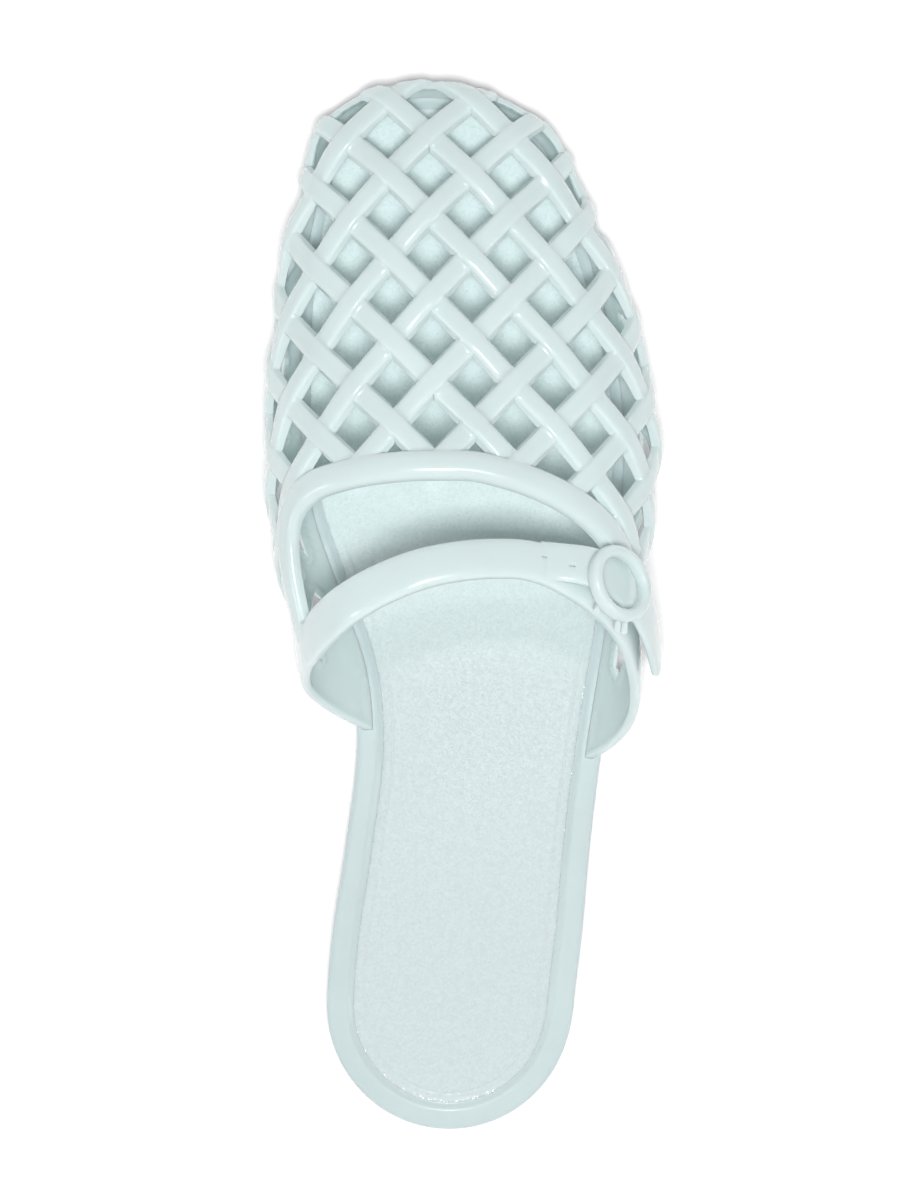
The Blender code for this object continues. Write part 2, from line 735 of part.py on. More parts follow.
def outline_ring(inset):
    """Points of the sole outline moved in: up the lateral side from heel to toe, back on the medial."""
    share = np.arange(SOLE_STEPS + 1) / SOLE_STEPS
    stations = LENGTH * 0.5 * (1.0 - np.cos(math.pi * share))
    medial, lateral = sides(sole_medial, sole_lateral, stations)
    order = np.concatenate([np.arange(SOLE_STEPS + 1), np.arange(SOLE_STEPS - 1, 0, -1)])
    x = np.concatenate([lateral, medial[SOLE_STEPS - 1:0:-1]])
    ring = np.stack([x, stations[order] - 0.5 * LENGTH], axis=1)
    along = np.roll(ring, -1, axis=0) - np.roll(ring, 1, axis=0)
    along /= np.linalg.norm(along, axis=1, keepdims=True)
    return ring + inset * np.stack([-along[:, 1], along[:, 0]], axis=1), stations[order]


def ladder_cap(first, facing_up):
    """Faces across a ring of the sole, joining its two sides station by station."""
    size = 2 * SOLE_STEPS
    pairs = [(first + i, first + (size - i) % size) for i in range(SOLE_STEPS + 1)]
    faces = []
    for (right, left), (next_right, next_left) in zip(pairs, pairs[1:]):
        face = tuple(dict.fromkeys((left, right, next_right, next_left)))
        faces.append(face if facing_up else face[::-1])
    return faces


def ring_stack(levels):
    """A closed body from rings of the sole outline. Each level is an inset and a height curve."""
    size = 2 * SOLE_STEPS
    points, faces = [], []
    for inset, height in levels:
        ring, stations = outline_ring(inset)
        points.append(np.column_stack([ring, height(stations)]))
    for level in range(len(levels) - 1):
        low, high = level * size, (level + 1) * size
        faces += [(low + i, low + (i + 1) % size, high + (i + 1) % size, high + i) for i in range(size)]
    faces += ladder_cap(0, False)
    faces += ladder_cap((len(levels) - 1) * size, True)
    return np.concatenate(points), faces


def below_rim(depth):
    return lambda station: rim_height(station) - depth


def above_bottom(height):
    return lambda station: sole_bottom(station) + height


def outsole_mesh():
    """Bottom unit: rounded bottom edge, side, rim bead and the recess of the footbed."""
    recess = FOOTBED_DEPTH + INSOLE_THICKNESS + GAP
    levels = [(inset, above_bottom(height)) for inset, height in EDGE_ROWS]
    levels += [
        (0.0, below_rim(SIDE_TOP)),
        (RIM_SOFT, below_rim(RIM_SOFT)),
        (RIM_ROUND, below_rim(0.0)),
        (RIM_WIDTH - RIM_ROUND, below_rim(0.0)),
        (RIM_WIDTH - RIM_SOFT, below_rim(RIM_SOFT)),
        (RIM_WIDTH, below_rim(RIM_ROUND)),
        (RIM_WIDTH, below_rim(recess)),
    ]
    return ring_stack(levels)


def insole_mesh():
    """Sock sheet in the recess, with a softened top edge."""
    edge = RIM_WIDTH + GAP
    recess = FOOTBED_DEPTH + INSOLE_THICKNESS
    levels = [
        (edge, below_rim(recess)),
        (edge, below_rim(FOOTBED_DEPTH + INSOLE_ROUND)),
        (edge + INSOLE_ROUND, below_rim(FOOTBED_DEPTH)),
    ]
    return ring_stack(levels)


def ring_frame():
    """Seat of the ring: its centre, the strap's direction, the way across it and the outward way."""
    centre = np.array(RING_PLACE)
    nearest = np.argmin(np.linalg.norm(TAIL_LINE - centre, axis=1))
    flat_along = TAIL_LINE[nearest + 1] - TAIL_LINE[nearest - 1]
    flat_along /= np.linalg.norm(flat_along)
    base, out = LAST.at(*centre)
    out = out + RING_LEAN * np.array([0.0, 1.0, 0.0])
    out /= np.linalg.norm(out)
    ahead = LAST.at(*(centre + flat_along))[0] - LAST.at(*(centre - flat_along))[0]
    along = ahead - out * np.dot(ahead, out)
    along /= np.linalg.norm(along)
    return base, along, np.cross(out, along), out


def ring_seat(base, along, across, out):
    """Height of the ring's middle over the last, so that it clears the strap and the wall under it."""
    spread = np.linspace(-RING_SAMPLE_REACH, RING_SAMPLE_REACH, RING_SAMPLES)
    flat = np.array(RING_PLACE) + np.stack(np.meshgrid(spread, spread), axis=-1).reshape(-1, 2)
    points, normals = LAST.at(flat[:, 0], flat[:, 1])
    below = np.concatenate([points + normals * wall_lift(flat)[:, None], tail_mesh()[0]]) - base
    offset = np.abs(np.hypot(below @ along, below @ across) - RING_RADIUS) / (RING_HALF_WIDTH + GAP)
    under = offset < 1.0
    depth = (RING_HALF_HEIGHT + GAP) * np.sqrt(1.0 - offset[under] ** 2)
    return np.max(below[under] @ out + depth)


def buckle_parts():
    """Ring that lies on the strap, and the short legs under its lower side."""
    base, along, across, out = ring_frame()
    centre = base + out * ring_seat(base, along, across, out)
    turns = np.arange(RING_TURNS) * 2.0 * math.pi / RING_TURNS
    section = np.arange(RING_SIDES) * 2.0 * math.pi / RING_SIDES
    ring, faces = [], []
    for turn in turns:
        outward = along * math.cos(turn) + across * math.sin(turn)
        for side in section:
            radius = RING_RADIUS + RING_HALF_WIDTH * math.cos(side)
            ring.append(centre + radius * outward + out * RING_HALF_HEIGHT * math.sin(side))
    for i in range(RING_TURNS):
        here, after = i * RING_SIDES, (i + 1) % RING_TURNS * RING_SIDES
        for j in range(RING_SIDES):
            following = (j + 1) % RING_SIDES
            faces.append((here + j, after + j, after + following, here + following))
    ways = np.stack([along, across, out])
    legs = [(centre + np.array(tip) @ ways, centre + np.array(root) @ ways) for root, tip in LEG_ROWS]
    return np.array(ring), faces, legs


def make_material(name, colour, roughness):
    material = bpy.data.materials.new(name)
    material.use_nodes = True
    shader = material.node_tree.nodes["Principled BSDF"]
    shader.inputs["Base Color"].default_value = (*colour, 1.0)
    shader.inputs["Roughness"].default_value = roughness
    shader.inputs["Metallic"].default_value = 0.0
    return material


def make_object(name, points, faces, material):
    """One closed body in metres, with its faces turned outward."""
    mesh = bpy.data.meshes.new(name)
    mesh.from_pydata((points * MM).tolist(), [], [tuple(map(int, face)) for face in faces])
    body = bmesh.new()
    body.from_mesh(mesh)
    bmesh.ops.triangulate(body, faces=body.faces)
    bmesh.ops.recalc_face_normals(body, faces=body.faces)
    body.to_mesh(mesh)
    body.free()
    mesh.materials.append(material)
    mesh.shade_smooth()
    mesh.set_sharp_from_angle(angle=math.radians(SHARP_ANGLE))
    part = bpy.data.objects.new(name, mesh)
    bpy.context.collection.objects.link(part)
    return part


def leg_mesh(tip, root):
    """A short round leg between two points."""
    axis = (root - tip) / np.linalg.norm(root - tip)
    side = np.cross(axis, (0.0, 1.0, 0.0))
    side /= np.linalg.norm(side)
    other = np.cross(axis, side)
    turns = np.arange(LEG_SIDES) * 2.0 * math.pi / LEG_SIDES
    circle = [LEG_RADIUS * (side * math.cos(t) + other * math.sin(t)) for t in turns]
    points = np.array([tip + step for step in circle] + [root + step for step in circle])
    faces = [tuple(range(LEG_SIDES)), tuple(range(LEG_SIDES, 2 * LEG_SIDES))[::-1]]
    for i in range(LEG_SIDES):
        following = (i + 1) % LEG_SIDES
        faces.append((i, LEG_SIDES + i, LEG_SIDES + following, following))
    return points, faces


def join(body, name, points, faces):
    """Union of a body with a further closed shape, kept as a hidden tool object."""
    tool = make_object(name, points, faces, body.data.materials[0])
    tool.hide_render = True
    tool.display_type = "WIRE"
    union = body.modifiers.new(name, "BOOLEAN")
    union.operation = "UNION"
    union.solver = "EXACT"
    union.object = tool


def build():
    """The four pieces of the shoe."""
    sole_moulding = make_material("sole_moulding", SOLE_COLOUR, SOLE_ROUGHNESS)
    make_object("outsole", *outsole_mesh(), sole_moulding)
    sock_sheet = make_material("sock_sheet", INSOLE_COLOUR, INSOLE_ROUGHNESS)
    make_object("insole", *insole_mesh(), sock_sheet)
    upper_moulding = make_material("upper_moulding", UPPER_COLOUR, UPPER_ROUGHNESS)
    upper = make_object("upper", *upper_mesh(), upper_moulding)
    join(upper, "strap_end_tool", *tail_mesh())
    ring_moulding = make_material("ring_moulding", BUCKLE_COLOUR, BUCKLE_ROUGHNESS)
    ring_points, ring_faces, legs = buckle_parts()
    buckle = make_object("buckle", ring_points, ring_faces, ring_moulding)
    for number, (tip, root) in enumerate(legs):
        join(buckle, f"leg_tool_{number}", *leg_mesh(tip, root))


for old in list(bpy.data.objects):
    bpy.data.objects.remove(old, do_unlink=True)
build()
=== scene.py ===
"""Looks of a moulded jelly mule sandal, right shoe, laid out as a Blender add-on.

The shoe points its toe to +Y and its lateral side to +X. Lengths in the tables and constants are
millimetres, and stations are measured from the back of the heel.
"""
import math

import bmesh
import bpy
import numpy as np
from bpy.props import FloatProperty, FloatVectorProperty, PointerProperty
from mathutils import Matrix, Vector, kdtree
from mathutils.geometry import delaunay_2d_cdt


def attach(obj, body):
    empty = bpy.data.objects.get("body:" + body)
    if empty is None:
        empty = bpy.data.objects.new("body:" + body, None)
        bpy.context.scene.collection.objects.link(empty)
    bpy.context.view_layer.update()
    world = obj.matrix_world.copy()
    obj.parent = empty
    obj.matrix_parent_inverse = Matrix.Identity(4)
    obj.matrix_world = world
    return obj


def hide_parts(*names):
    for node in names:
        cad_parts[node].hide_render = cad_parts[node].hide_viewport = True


bl_info = {
    "name": "Jelly mule sandal",
    "version": (1, 0, 0),
    "blender": (4, 5, 0),
    "location": "View3D > Sidebar > Mule",
    "description": "Builds the woven jelly mule on its frame, piece by piece",
    "category": "Add Mesh",
}

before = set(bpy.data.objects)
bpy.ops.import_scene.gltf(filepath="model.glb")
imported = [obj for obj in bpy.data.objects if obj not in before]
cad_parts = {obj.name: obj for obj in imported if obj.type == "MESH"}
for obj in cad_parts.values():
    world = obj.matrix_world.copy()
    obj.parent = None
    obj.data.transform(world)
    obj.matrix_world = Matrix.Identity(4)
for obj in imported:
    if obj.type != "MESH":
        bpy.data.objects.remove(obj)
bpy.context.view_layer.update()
BODY = "root"
WELT = "welt"

MM = 0.001
GAP = 0.3

# Driving sizes of the shoe
LENGTH = 255.0
HEEL_ROUND = 30.0
TOE_ROUND = 17.0
TOE_POWER = 2.2

# Sole outline, outer edge of the rim: station, medial side, lateral side
SOLE_ROWS = (
    (0.0, -33.0, 26.6),
    (28.6, -33.0, 27.0),
    (46.5, -31.8, 29.1),
    (68.3, -28.6, 31.1),
    (95.0, -25.7, 34.5),
    (112.0, -27.4, 37.3),
    (130.0, -33.6, 40.2),
    (150.0, -40.4, 42.6),
    (170.0, -43.3, 43.5),
    (190.0, -43.4, 40.9),
    (212.0, -42.0, 35.2),
    (232.0, -38.3, 27.4),
    (255.0, -34.5, 16.8),
)

# Sole heights: station, underside, top of the rim
HEIGHT_ROWS = (
    (0.0, 0.0, 15.5),
    (30.0, 0.0, 15.0),
    (60.0, 0.0, 13.8),
    (78.0, 1.0, 12.6),
    (98.0, 1.9, 11.2),
    (120.0, 0.9, 10.0),
    (140.0, 0.0, 9.4),
    (175.0, 0.0, 9.0),
    (208.0, 0.0, 9.2),
    (232.0, 1.6, 10.6),
    (255.0, 4.8, 13.6),
)

# Upper: station, widest line of the wall on the medial and the lateral side, height of its crest
UPPER_ROWS = (
    (70.0, -36.0, 41.5, 84.0),
    (105.0, -38.2, 42.3, 79.0),
    (120.0, -40.2, 43.0, 74.5),
    (137.0, -44.9, 44.6, 68.0),
    (150.0, -46.9, 46.4, 62.0),
    (165.0, -47.7, 47.8, 55.5),
    (180.0, -47.6, 46.2, 49.5),
    (202.0, -45.5, 40.9, 42.5),
    (215.0, -43.8, 36.0, 38.8),
    (232.0, -39.3, 28.3, 34.0),
    (255.0, -34.6, 17.0, 28.0),
)
CREST_X = -6.7
CREST_STATION = 171.0
CREST_SLOPE = -0.029
FAN_STATION = 217.0
BACK_STATION = 72.0
WIDEST_FRACTION = 0.35
DOME_POWER = 2.1
SEAT_INSET = 1.6

# Steps of the last's grid: along a section, rows of a section, turns of each half of the toe, stations
PROFILE_STEPS = 120
GRID_ROWS = 160
FAN_STEPS = 90
STATION_STEPS = 150

# Woven vamp, in the flat pattern: half pitches of the gaps, first row, sag of the rows to each side
GAP_STEP_P = 9.75
GAP_STEP_Q = 10.65
GAP_ROW_START = -5.6
SAG_MEDIAL = 0.0035
SAG_LATERAL = 0.0014
SAG_REACH_MEDIAL = 48.0
SAG_REACH_LATERAL = 70.0
TOE_SPREAD = 0.0045
STRIP_WIDTH = 5.1
STRIP_PITCH = 2.0 * GAP_STEP_P * GAP_STEP_Q / math.hypot(GAP_STEP_P, GAP_STEP_Q)
STRIP_HALF = 0.5 * STRIP_WIDTH / STRIP_PITCH
STRIP_POWER = 3.0
STRIP_FILLET = 1.2
FLANK_DRAFT = 0.6
WEAVE_REACH = 14
WALL = 2.4
SMALLEST_GAP_AREA = 7.0
FOOT_BAND = 5.5
FOOT_LIFT = -0.5
FOOT_TURN = 6.0
FOOT_ROUND = 1.2
FOOT_SINK = 0.42

# Centre lines of the bands in the flat pattern, from the medial side to the lateral side
COLLAR_ROWS = (
    (-46.5, -108.0),
    (-45.8, -97.0),
    (-45.0, -87.0),
    (-43.6, -78.5),
    (-39.8, -70.8),
    (-33.0, -65.4),
    (-22.0, -61.7),
    (-8.0, -59.6),
    (6.0, -59.3),
    (18.0, -61.8),
    (30.0, -66.9),
    (39.5, -73.2),
    (46.5, -80.0),
    (52.0, -88.0),
    (56.0, -98.0),
)
COLLAR_HALF = 3.6
COLLAR_LIFT = 1.2
COLLAR_CROWN = 2.0
BACK_ROWS = (
    (-104.0, -127.5),
    (-80.5, -118.6),
    (-65.5, -112.5),
    (-52.0, -107.8),
    (-41.0, -104.3),
    (-33.5, -100.6),
    (-24.0, -95.2),
    (-13.5, -89.8),
    (-4.0, -86.0),
    (6.0, -83.9),
    (13.5, -83.35),
    (21.0, -83.75),
    (27.0, -85.4),
    (34.0, -88.8),
    (41.0, -92.6),
    (48.0, -97.0),
    (56.0, -102.6),
    (64.0, -109.0),
    (78.0, -118.9),
    (93.0, -127.0),
    (112.0, -134.0),
)
STRAP_HALF = 4.9
STRAP_LIFT = 0.4
STRAP_CROWN = 1.0
BAND_POWER = 2.4

# Free end of the strap: its centre line, and the height of its underside over the last
TAIL_ROWS = (
    (24.0, -83.9),
    (31.0, -85.2),
    (40.0, -88.2),
    (48.0, -92.4),
    (56.0, -98.2),
    (64.0, -105.2),
    (69.8, -110.8),
)
TAIL_HEIGHT_ROWS = (
    (0.0, -2.3),
    (5.0, -1.4),
    (12.0, 1.2),
    (20.0, 1.6),
    (36.0, 1.6),
    (46.0, 2.0),
    (56.0, 2.9),
)
TAIL_THICKNESS = 2.4
TAIL_TIP_ROUND = 2.2
TAIL_TIP_THIN = 0.35
TAIL_STEPS = 70
TIP_STEPS = 9
TAIL_SIDES = 40
TAIL_POWER = 3.6

# Pinholes of the strap: place in the flat pattern and height of the mouth over the last
PINHOLE_ROWS = (
    (25.2, -83.6, 0.4),
    (31.6, -86.4, 2.1),
)
PINHOLE_DEPTH = 0.6
PINHOLE_ABOVE = 2.0
PINHOLE_HALF_LENGTH = 0.65
PINHOLE_HALF_WIDTH = 0.3
PINHOLE_SIDES = 24

# Ring buckle on the strap
RING_PLACE = (41.2, -92.1)
RING_LEAN = 0.1
RING_SEAT = 6.49
RING_RADIUS = 7.8
RING_HALF_WIDTH = 1.5
RING_HALF_HEIGHT = 1.8
RING_POWER = 2.3
RING_TURNS = 120
RING_SIDES = 36
LEG_RADIUS = 0.8
LEG_SIDES = 28
# Root and tip of each leg, from the ring's middle: along the strap, across it and outward
LEG_ROWS = (
    ((-4.6, -6.3, 0.0), (-3.0, -7.8, -3.2)),
    ((1.0, -7.7, 0.0), (3.9, -9.8, -3.0)),
    ((3.0, -7.2, 0.0), (6.0, -9.2, -3.0)),
)

# Sole section: rounded edge of the underside, rim bead, recess and sock sheet
EDGE_ROUND = 2.4
EDGE_STEPS = 7
RIM_WIDTH = 6.5
RIM_CROWN = 0.12
RIM_SHOULDER = 2.0
RIM_STEPS = 25
FOOTBED_DEPTH = 1.6
INSOLE_THICKNESS = 2.4
LINE_INSET = 2.2
LINE_HALF = 0.5
LINE_STEPS = 9
SHEET_TOP = 0.7
SHEET_DISH = 0.9
DISH_WIDTH = 52.0
SHEET_GAP = 0.02
WELT_WIDTH = 0.7
WELT_DROP = 0.22
SHEET_COLUMNS = 24
# Span along the shoe over which the sock sheet fades into its painted glow under the vamp, lighter and
# mintier in place of the shade there
PAINTED_GLOW_SPAN = (-20.0, 45.0)
SOLE_STEPS = 150

# Tread under the heel and the forefoot: first and last station of each patch, then its grooves
TREAD_PATCHES = ((14.0, 58.0), (142.0, 206.0))
TREAD_PITCH = 6.0
TREAD_WIDTH = 1.6
TREAD_SHARES = (-0.5, -0.3, 0.3, 0.5)
TREAD_REACH = 0.4

# Patterns of the finishes: size of their features, depth of their bumps, spread of their tone and gloss
CLOUD_SIZE = 35.0
CLOUD_SPREAD = 0.03
WAVE_SIZE = 9.0
WAVE_DEPTH = 0.25
GRAIN_SIZE = 0.9
GRAIN_DEPTH = 0.02
COAT_SHARE = 0.4
FLAKE_SIZE = 0.55
FLAKE_DEPTH = 0.05
FLAKE_GLOSS = 0.15
CRUMPLE_SIZE = 2.2
CRUMPLE_DEPTH = 0.9

# Steps and tolerances
BISECTIONS = 40
LINE_SAMPLES = 600
FINE_STEP = 1.0
STRIP_STEPS = 4
SPAN_STEPS = 8
BAND_STEPS = 6
CHUNK = 4000
OVERRUN = 1.0
CLEAR = 0.35
MERGE = 0.02
TINY = 1e-6
CRISP_ANGLE = 55.0

# Camera over the shoe, and the lamps: places in metres
CAMERA_PLACE = (-0.003, 0.00135, 1.2)
CAMERA_ANGLE = 14.05
KEY_PLACE = (0.0, -0.14, 1.6)
KEY_SIZE = (0.3, 0.21)
GLINT_PLACE = (0.0, 0.4, 1.55)
GLINT_SIZE = (0.08, 0.08)
EDGE_PLACES = ((-1.1, -0.1, 0.8), (1.1, -0.1, 0.8))
EDGE_SIZE = (0.2, 0.2)
EDGE_SHARE = 0.15
FLOOR_SIZE = 6.0


def table_curve(rows, column):
    """A smooth curve through one column of a table, as a function of the station."""
    stations = np.array([row[0] for row in rows])
    values = np.array([row[column] for row in rows])
    slopes = np.gradient(values, stations)
    steps = np.diff(values)
    slopes[1:-1][steps[1:] * steps[:-1] <= 0.0] = 0.0

    def at(station):
        station = np.clip(np.asarray(station, float), stations[0], stations[-1])
        low = np.clip(np.searchsorted(stations, station, side="right") - 1, 0, len(stations) - 2)
        span = stations[low + 1] - stations[low]
        t = (station - stations[low]) / span
        rise = t * t * (3.0 - 2.0 * t)
        return (values[low] * (1.0 - rise) + values[low + 1] * rise
                + span * (slopes[low] * t * (1.0 - t) ** 2 - slopes[low + 1] * t * t * (1.0 - t)))

    return at


def table_curves(rows):
    """A smooth curve for each column of a table after its stations."""
    return [table_curve(rows, column) for column in range(1, len(rows[0]))]


sole_medial, sole_lateral = table_curves(SOLE_ROWS)
sole_bottom, rim_height = table_curves(HEIGHT_ROWS)
upper_medial, upper_lateral, crest_height = table_curves(UPPER_ROWS)
tail_underside, = table_curves(TAIL_HEIGHT_ROWS)


def end_rounding(station):
    """Share of the full width that the round heel and toe leave at a station."""
    heel = np.clip(np.asarray(station) / HEEL_ROUND, 0.0, 1.0)
    toe = np.clip((LENGTH - np.asarray(station)) / TOE_ROUND, 0.0, 1.0)
    return np.sqrt(1.0 - (1.0 - heel) ** 2) * (1.0 - (1.0 - toe) ** TOE_POWER) ** (1.0 / TOE_POWER)


def sides(medial, lateral, station):
    """Medial and lateral edges of a rounded outline at a station."""
    left, right = medial(station), lateral(station)
    middle = 0.5 * (left + right)
    half = 0.5 * (right - left) * end_rounding(station)
    return middle - half, middle + half


def crest_x(station):
    return CREST_X + CREST_SLOPE * (np.asarray(station) - CREST_STATION)


def reach(outline, x, station, toward_x, toward_station):
    """Distance from points inside an outline to its edge, along a direction for each."""
    low, high = np.zeros(len(x)), np.full(len(x), LENGTH)
    for _ in range(BISECTIONS):
        middle = 0.5 * (low + high)
        at = station + toward_station * middle
        left, right = sides(*outline, at)
        across = x + toward_x * middle
        inside = (at < LENGTH) & (left < across) & (across < right)
        low, high = np.where(inside, middle, low), np.where(inside, high, middle)
    return low


def arc_length(line):
    """Distance travelled along a line of points."""
    return np.concatenate([[0.0], np.cumsum(np.linalg.norm(np.diff(line, axis=0), axis=1))])


def meridian(x, station, toward_x, toward_station, widest, foot):
    """Points of the last from the crest to the feather edge, along one direction in plan."""
    turn = np.linspace(0.0, 0.5 * math.pi, PROFILE_STEPS)
    fall = np.linspace(0.0, 1.0, PROFILE_STEPS // 2)[1:]
    power = 2.0 / DOME_POWER
    plan = np.concatenate([widest * np.sin(turn) ** power, widest - (widest - foot) * fall ** 2])
    share = np.concatenate([
        WIDEST_FRACTION + (1.0 - WIDEST_FRACTION) * np.cos(turn).clip(0.0) ** power,
        WIDEST_FRACTION * (1.0 - fall)])
    along = station + toward_station * plan
    base = rim_height(along) + GAP
    height = base + (crest_height(along) - base) * share
    return np.stack([x + toward_x * plan, along - 0.5 * LENGTH, height], axis=1)


class Last:
    """The surface that the upper is moulded on, addressed by its flat pattern.

    In the pattern, p runs sideways from the crest line and q runs forward from the middle of the toe.
    Behind that middle, p is the girth from the crest. In front of it, the pattern fans out.
    """

    def __init__(self):
        stations = np.linspace(BACK_STATION, FAN_STATION, STATION_STEPS)
        self.crest_q = arc_length(np.stack([crest_x(stations), stations, crest_height(stations)], axis=1))
        self.crest_q -= self.crest_q[-1]
        turns = np.linspace(-0.5 * math.pi, 0.5 * math.pi, 2 * FAN_STEPS + 1)
        back = stations[:-1]
        station = np.concatenate([back, np.full(len(turns), FAN_STATION), back[::-1]])
        toward_x = np.concatenate([np.full(len(back), -1.0), np.sin(turns), np.ones(len(back))])
        toward_station = np.concatenate([np.zeros(len(back)), np.cos(turns), np.zeros(len(back))])
        place = crest_x(station), station, toward_x, toward_station
        widest = reach((upper_medial, upper_lateral), *place)
        foot = reach((sole_medial, sole_lateral), *place) - SEAT_INSET
        shares = np.linspace(0.0, 1.0, GRID_ROWS)
        self.points = np.empty((len(station), GRID_ROWS, 3))
        self.girth = np.empty(len(station))
        for row, values in enumerate(zip(*place, widest, foot)):
            line = meridian(*values)
            arc = arc_length(line)
            self.girth[row] = arc[-1]
            for axis in range(3):
                self.points[row, :, axis] = np.interp(shares * arc[-1], arc, line[:, axis])
        self.normals = self.grid_normals()

    def grid_normals(self):
        """Outward unit normals at the grid points."""
        across = np.gradient(self.points, axis=1)
        along = np.gradient(self.points, axis=0)
        along[:, 0] = along[:, 1]
        normals = np.cross(along, across)
        normals /= np.linalg.norm(normals, axis=2, keepdims=True)
        return normals

    def locate(self, p, q):
        """Row of the grid, girth from the crest and girth left to the feather edge."""
        p, q = np.broadcast_arrays(np.asarray(p, float), np.asarray(q, float))
        last = len(self.girth) - 1
        behind = np.interp(np.minimum(q, 0.0), self.crest_q, np.arange(STATION_STEPS, dtype=float))
        behind = np.where(p < 0.0, behind, last - behind)
        turn = np.arctan2(p, np.maximum(q, TINY))
        front = STATION_STEPS - 1 + (turn / (0.5 * math.pi) + 1.0) * FAN_STEPS
        row = np.where(q > 0.0, front, behind)
        arc = np.where(q > 0.0, np.hypot(p, q), np.abs(p))
        girth = np.interp(row, np.arange(last + 1), self.girth)
        return row, arc, girth - arc

    def blend(self, grid, row, share):
        low = np.clip(np.floor(row).astype(int), 0, len(self.girth) - 2)
        step = np.clip(np.floor(share * (GRID_ROWS - 1)).astype(int), 0, GRID_ROWS - 2)
        u = (row - low)[..., None]
        v = (share * (GRID_ROWS - 1) - step)[..., None]
        near = grid[low, step] * (1.0 - v) + grid[low, step + 1] * v
        far = grid[low + 1, step] * (1.0 - v) + grid[low + 1, step + 1] * v
        return near * (1.0 - u) + far * u

    def at(self, p, q):
        """Point and outward normal for each place in the pattern."""
        row, arc, left = self.locate(p, q)
        share = arc / (arc + left)
        normal = self.blend(self.normals, row, share)
        return self.blend(self.points, row, share), normal / np.linalg.norm(normal, axis=-1)[..., None]


LAST = Last()


def pattern_line(rows, spacing):
    """Points at an even spacing along a smooth line through the rows of a table."""
    rows = np.array(rows)
    chord = arc_length(rows)
    fine = np.linspace(0.0, chord[-1], LINE_SAMPLES)
    curve = np.stack([at(fine) for at in table_curves(np.column_stack([chord, rows]))], axis=1)
    length = arc_length(curve)
    at = np.linspace(0.0, length[-1], max(2, round(length[-1] / spacing)) + 1)
    return np.stack([np.interp(at, length, column) for column in curve.T], axis=1)


def line_normals(line):
    """Unit normals to the left of a line of points."""
    along = np.gradient(line, axis=0)
    along /= np.linalg.norm(along, axis=1, keepdims=True)
    return np.stack([-along[:, 1], along[:, 0]], axis=1)


def beside(line, distance):
    return line + line_normals(line) * distance


def side_distance(line, points):
    """Distance of each point from a line, positive to its left."""
    start, step = line[:-1], np.diff(line, axis=0)
    size = (step ** 2).sum(axis=1)
    found = [np.empty(0)]
    for first in range(0, len(points), CHUNK):
        offset = points[first:first + CHUNK, None, :] - start[None]
        share = np.clip((offset * step).sum(2) / size, 0.0, 1.0)
        apart = np.linalg.norm(offset - share[..., None] * step, axis=2)
        best = np.argmin(apart, axis=1)
        pick = np.arange(len(best))
        side = step[best, 0] * offset[pick, best, 1] - step[best, 1] * offset[pick, best, 0]
        found.append(np.where(side < 0.0, -1.0, 1.0) * apart[pick, best])
    return np.concatenate(found)


COLLAR_LINE = pattern_line(COLLAR_ROWS, FINE_STEP)
BACK_LINE = pattern_line(BACK_ROWS, FINE_STEP)
TAIL_LINE = pattern_line(TAIL_ROWS, FINE_STEP)


def foot_girth(points):
    """Girth from each place in the pattern down to the feather edge."""
    return LAST.locate(points[:, 0], points[:, 1])[2]


def band_distances(points):
    """Distance of each place from the collar's and the straps' centre lines, positive on the vamp's side."""
    return side_distance(COLLAR_LINE, points), side_distance(BACK_LINE, points)


def row_sag(p):
    """How far the rows of gaps fall back at a distance from the crest."""
    medial = SAG_MEDIAL * np.minimum(np.abs(p), SAG_REACH_MEDIAL) ** 2
    lateral = SAG_LATERAL * np.minimum(np.abs(p), SAG_REACH_LATERAL) ** 2
    return np.where(p < 0.0, medial, lateral)


def weave_to_pattern(a, b):
    """Pattern place of a weave place. Gaps are centred on whole a and b, strips halfway between."""
    p = GAP_STEP_P * (a + b)
    q = GAP_ROW_START + GAP_STEP_Q * (a - b) - row_sag(p)
    return np.stack([p * (1.0 + TOE_SPREAD * np.maximum(q, 0.0)), q], axis=-1)


def pattern_to_weave(points):
    p = points[:, 0] / (1.0 + TOE_SPREAD * np.maximum(points[:, 1], 0.0))
    across = p / GAP_STEP_P
    forward = (points[:, 1] + row_sag(p) - GAP_ROW_START) / GAP_STEP_Q
    return 0.5 * (across + forward), 0.5 * (across - forward)


def rounded(share, power):
    """Drop of a rounded section, from nothing at its middle to one at its edge."""
    return 1.0 - (1.0 - np.clip(np.abs(share), 0.0, 1.0) ** power) ** (1.0 / power)


def smooth_step(share):
    share = np.clip(share, 0.0, 1.0)
    return share * share * (3.0 - 2.0 * share)


def strip_offset(across):
    """Place across the nearest strip: nothing at its middle, one at its edges."""
    return (across - np.floor(across) - 0.5) / STRIP_HALF


def strip_lift(across, along, sign, crown, swing):
    """Lift of one family of strips: a rounded crown that rises over and dips under the other family."""
    offset = strip_offset(across)
    parity = np.where(np.floor(across) % 2 == 0, 1.0, -1.0)
    rise = sign * parity * swing * np.cos(math.pi * (along - 0.5))
    return np.where(np.abs(offset) < 1.0 + MERGE, rise - crown * rounded(offset, STRIP_POWER), -WALL)


def soft_max(first, second, fillet):
    """The larger of two heights, with a fillet where they meet."""
    near = np.clip(1.0 - np.abs(first - second) / fillet, 0.0, 1.0)
    return np.maximum(first, second) + 0.25 * fillet * near ** 2


def band_lift(offset, half, lift, crown):
    """Lift of a band with a rounded top, and nothing beside it."""
    share = offset / half
    return np.where(np.abs(share) < 1.0 + MERGE, lift - crown * rounded(share, BAND_POWER), -WALL)


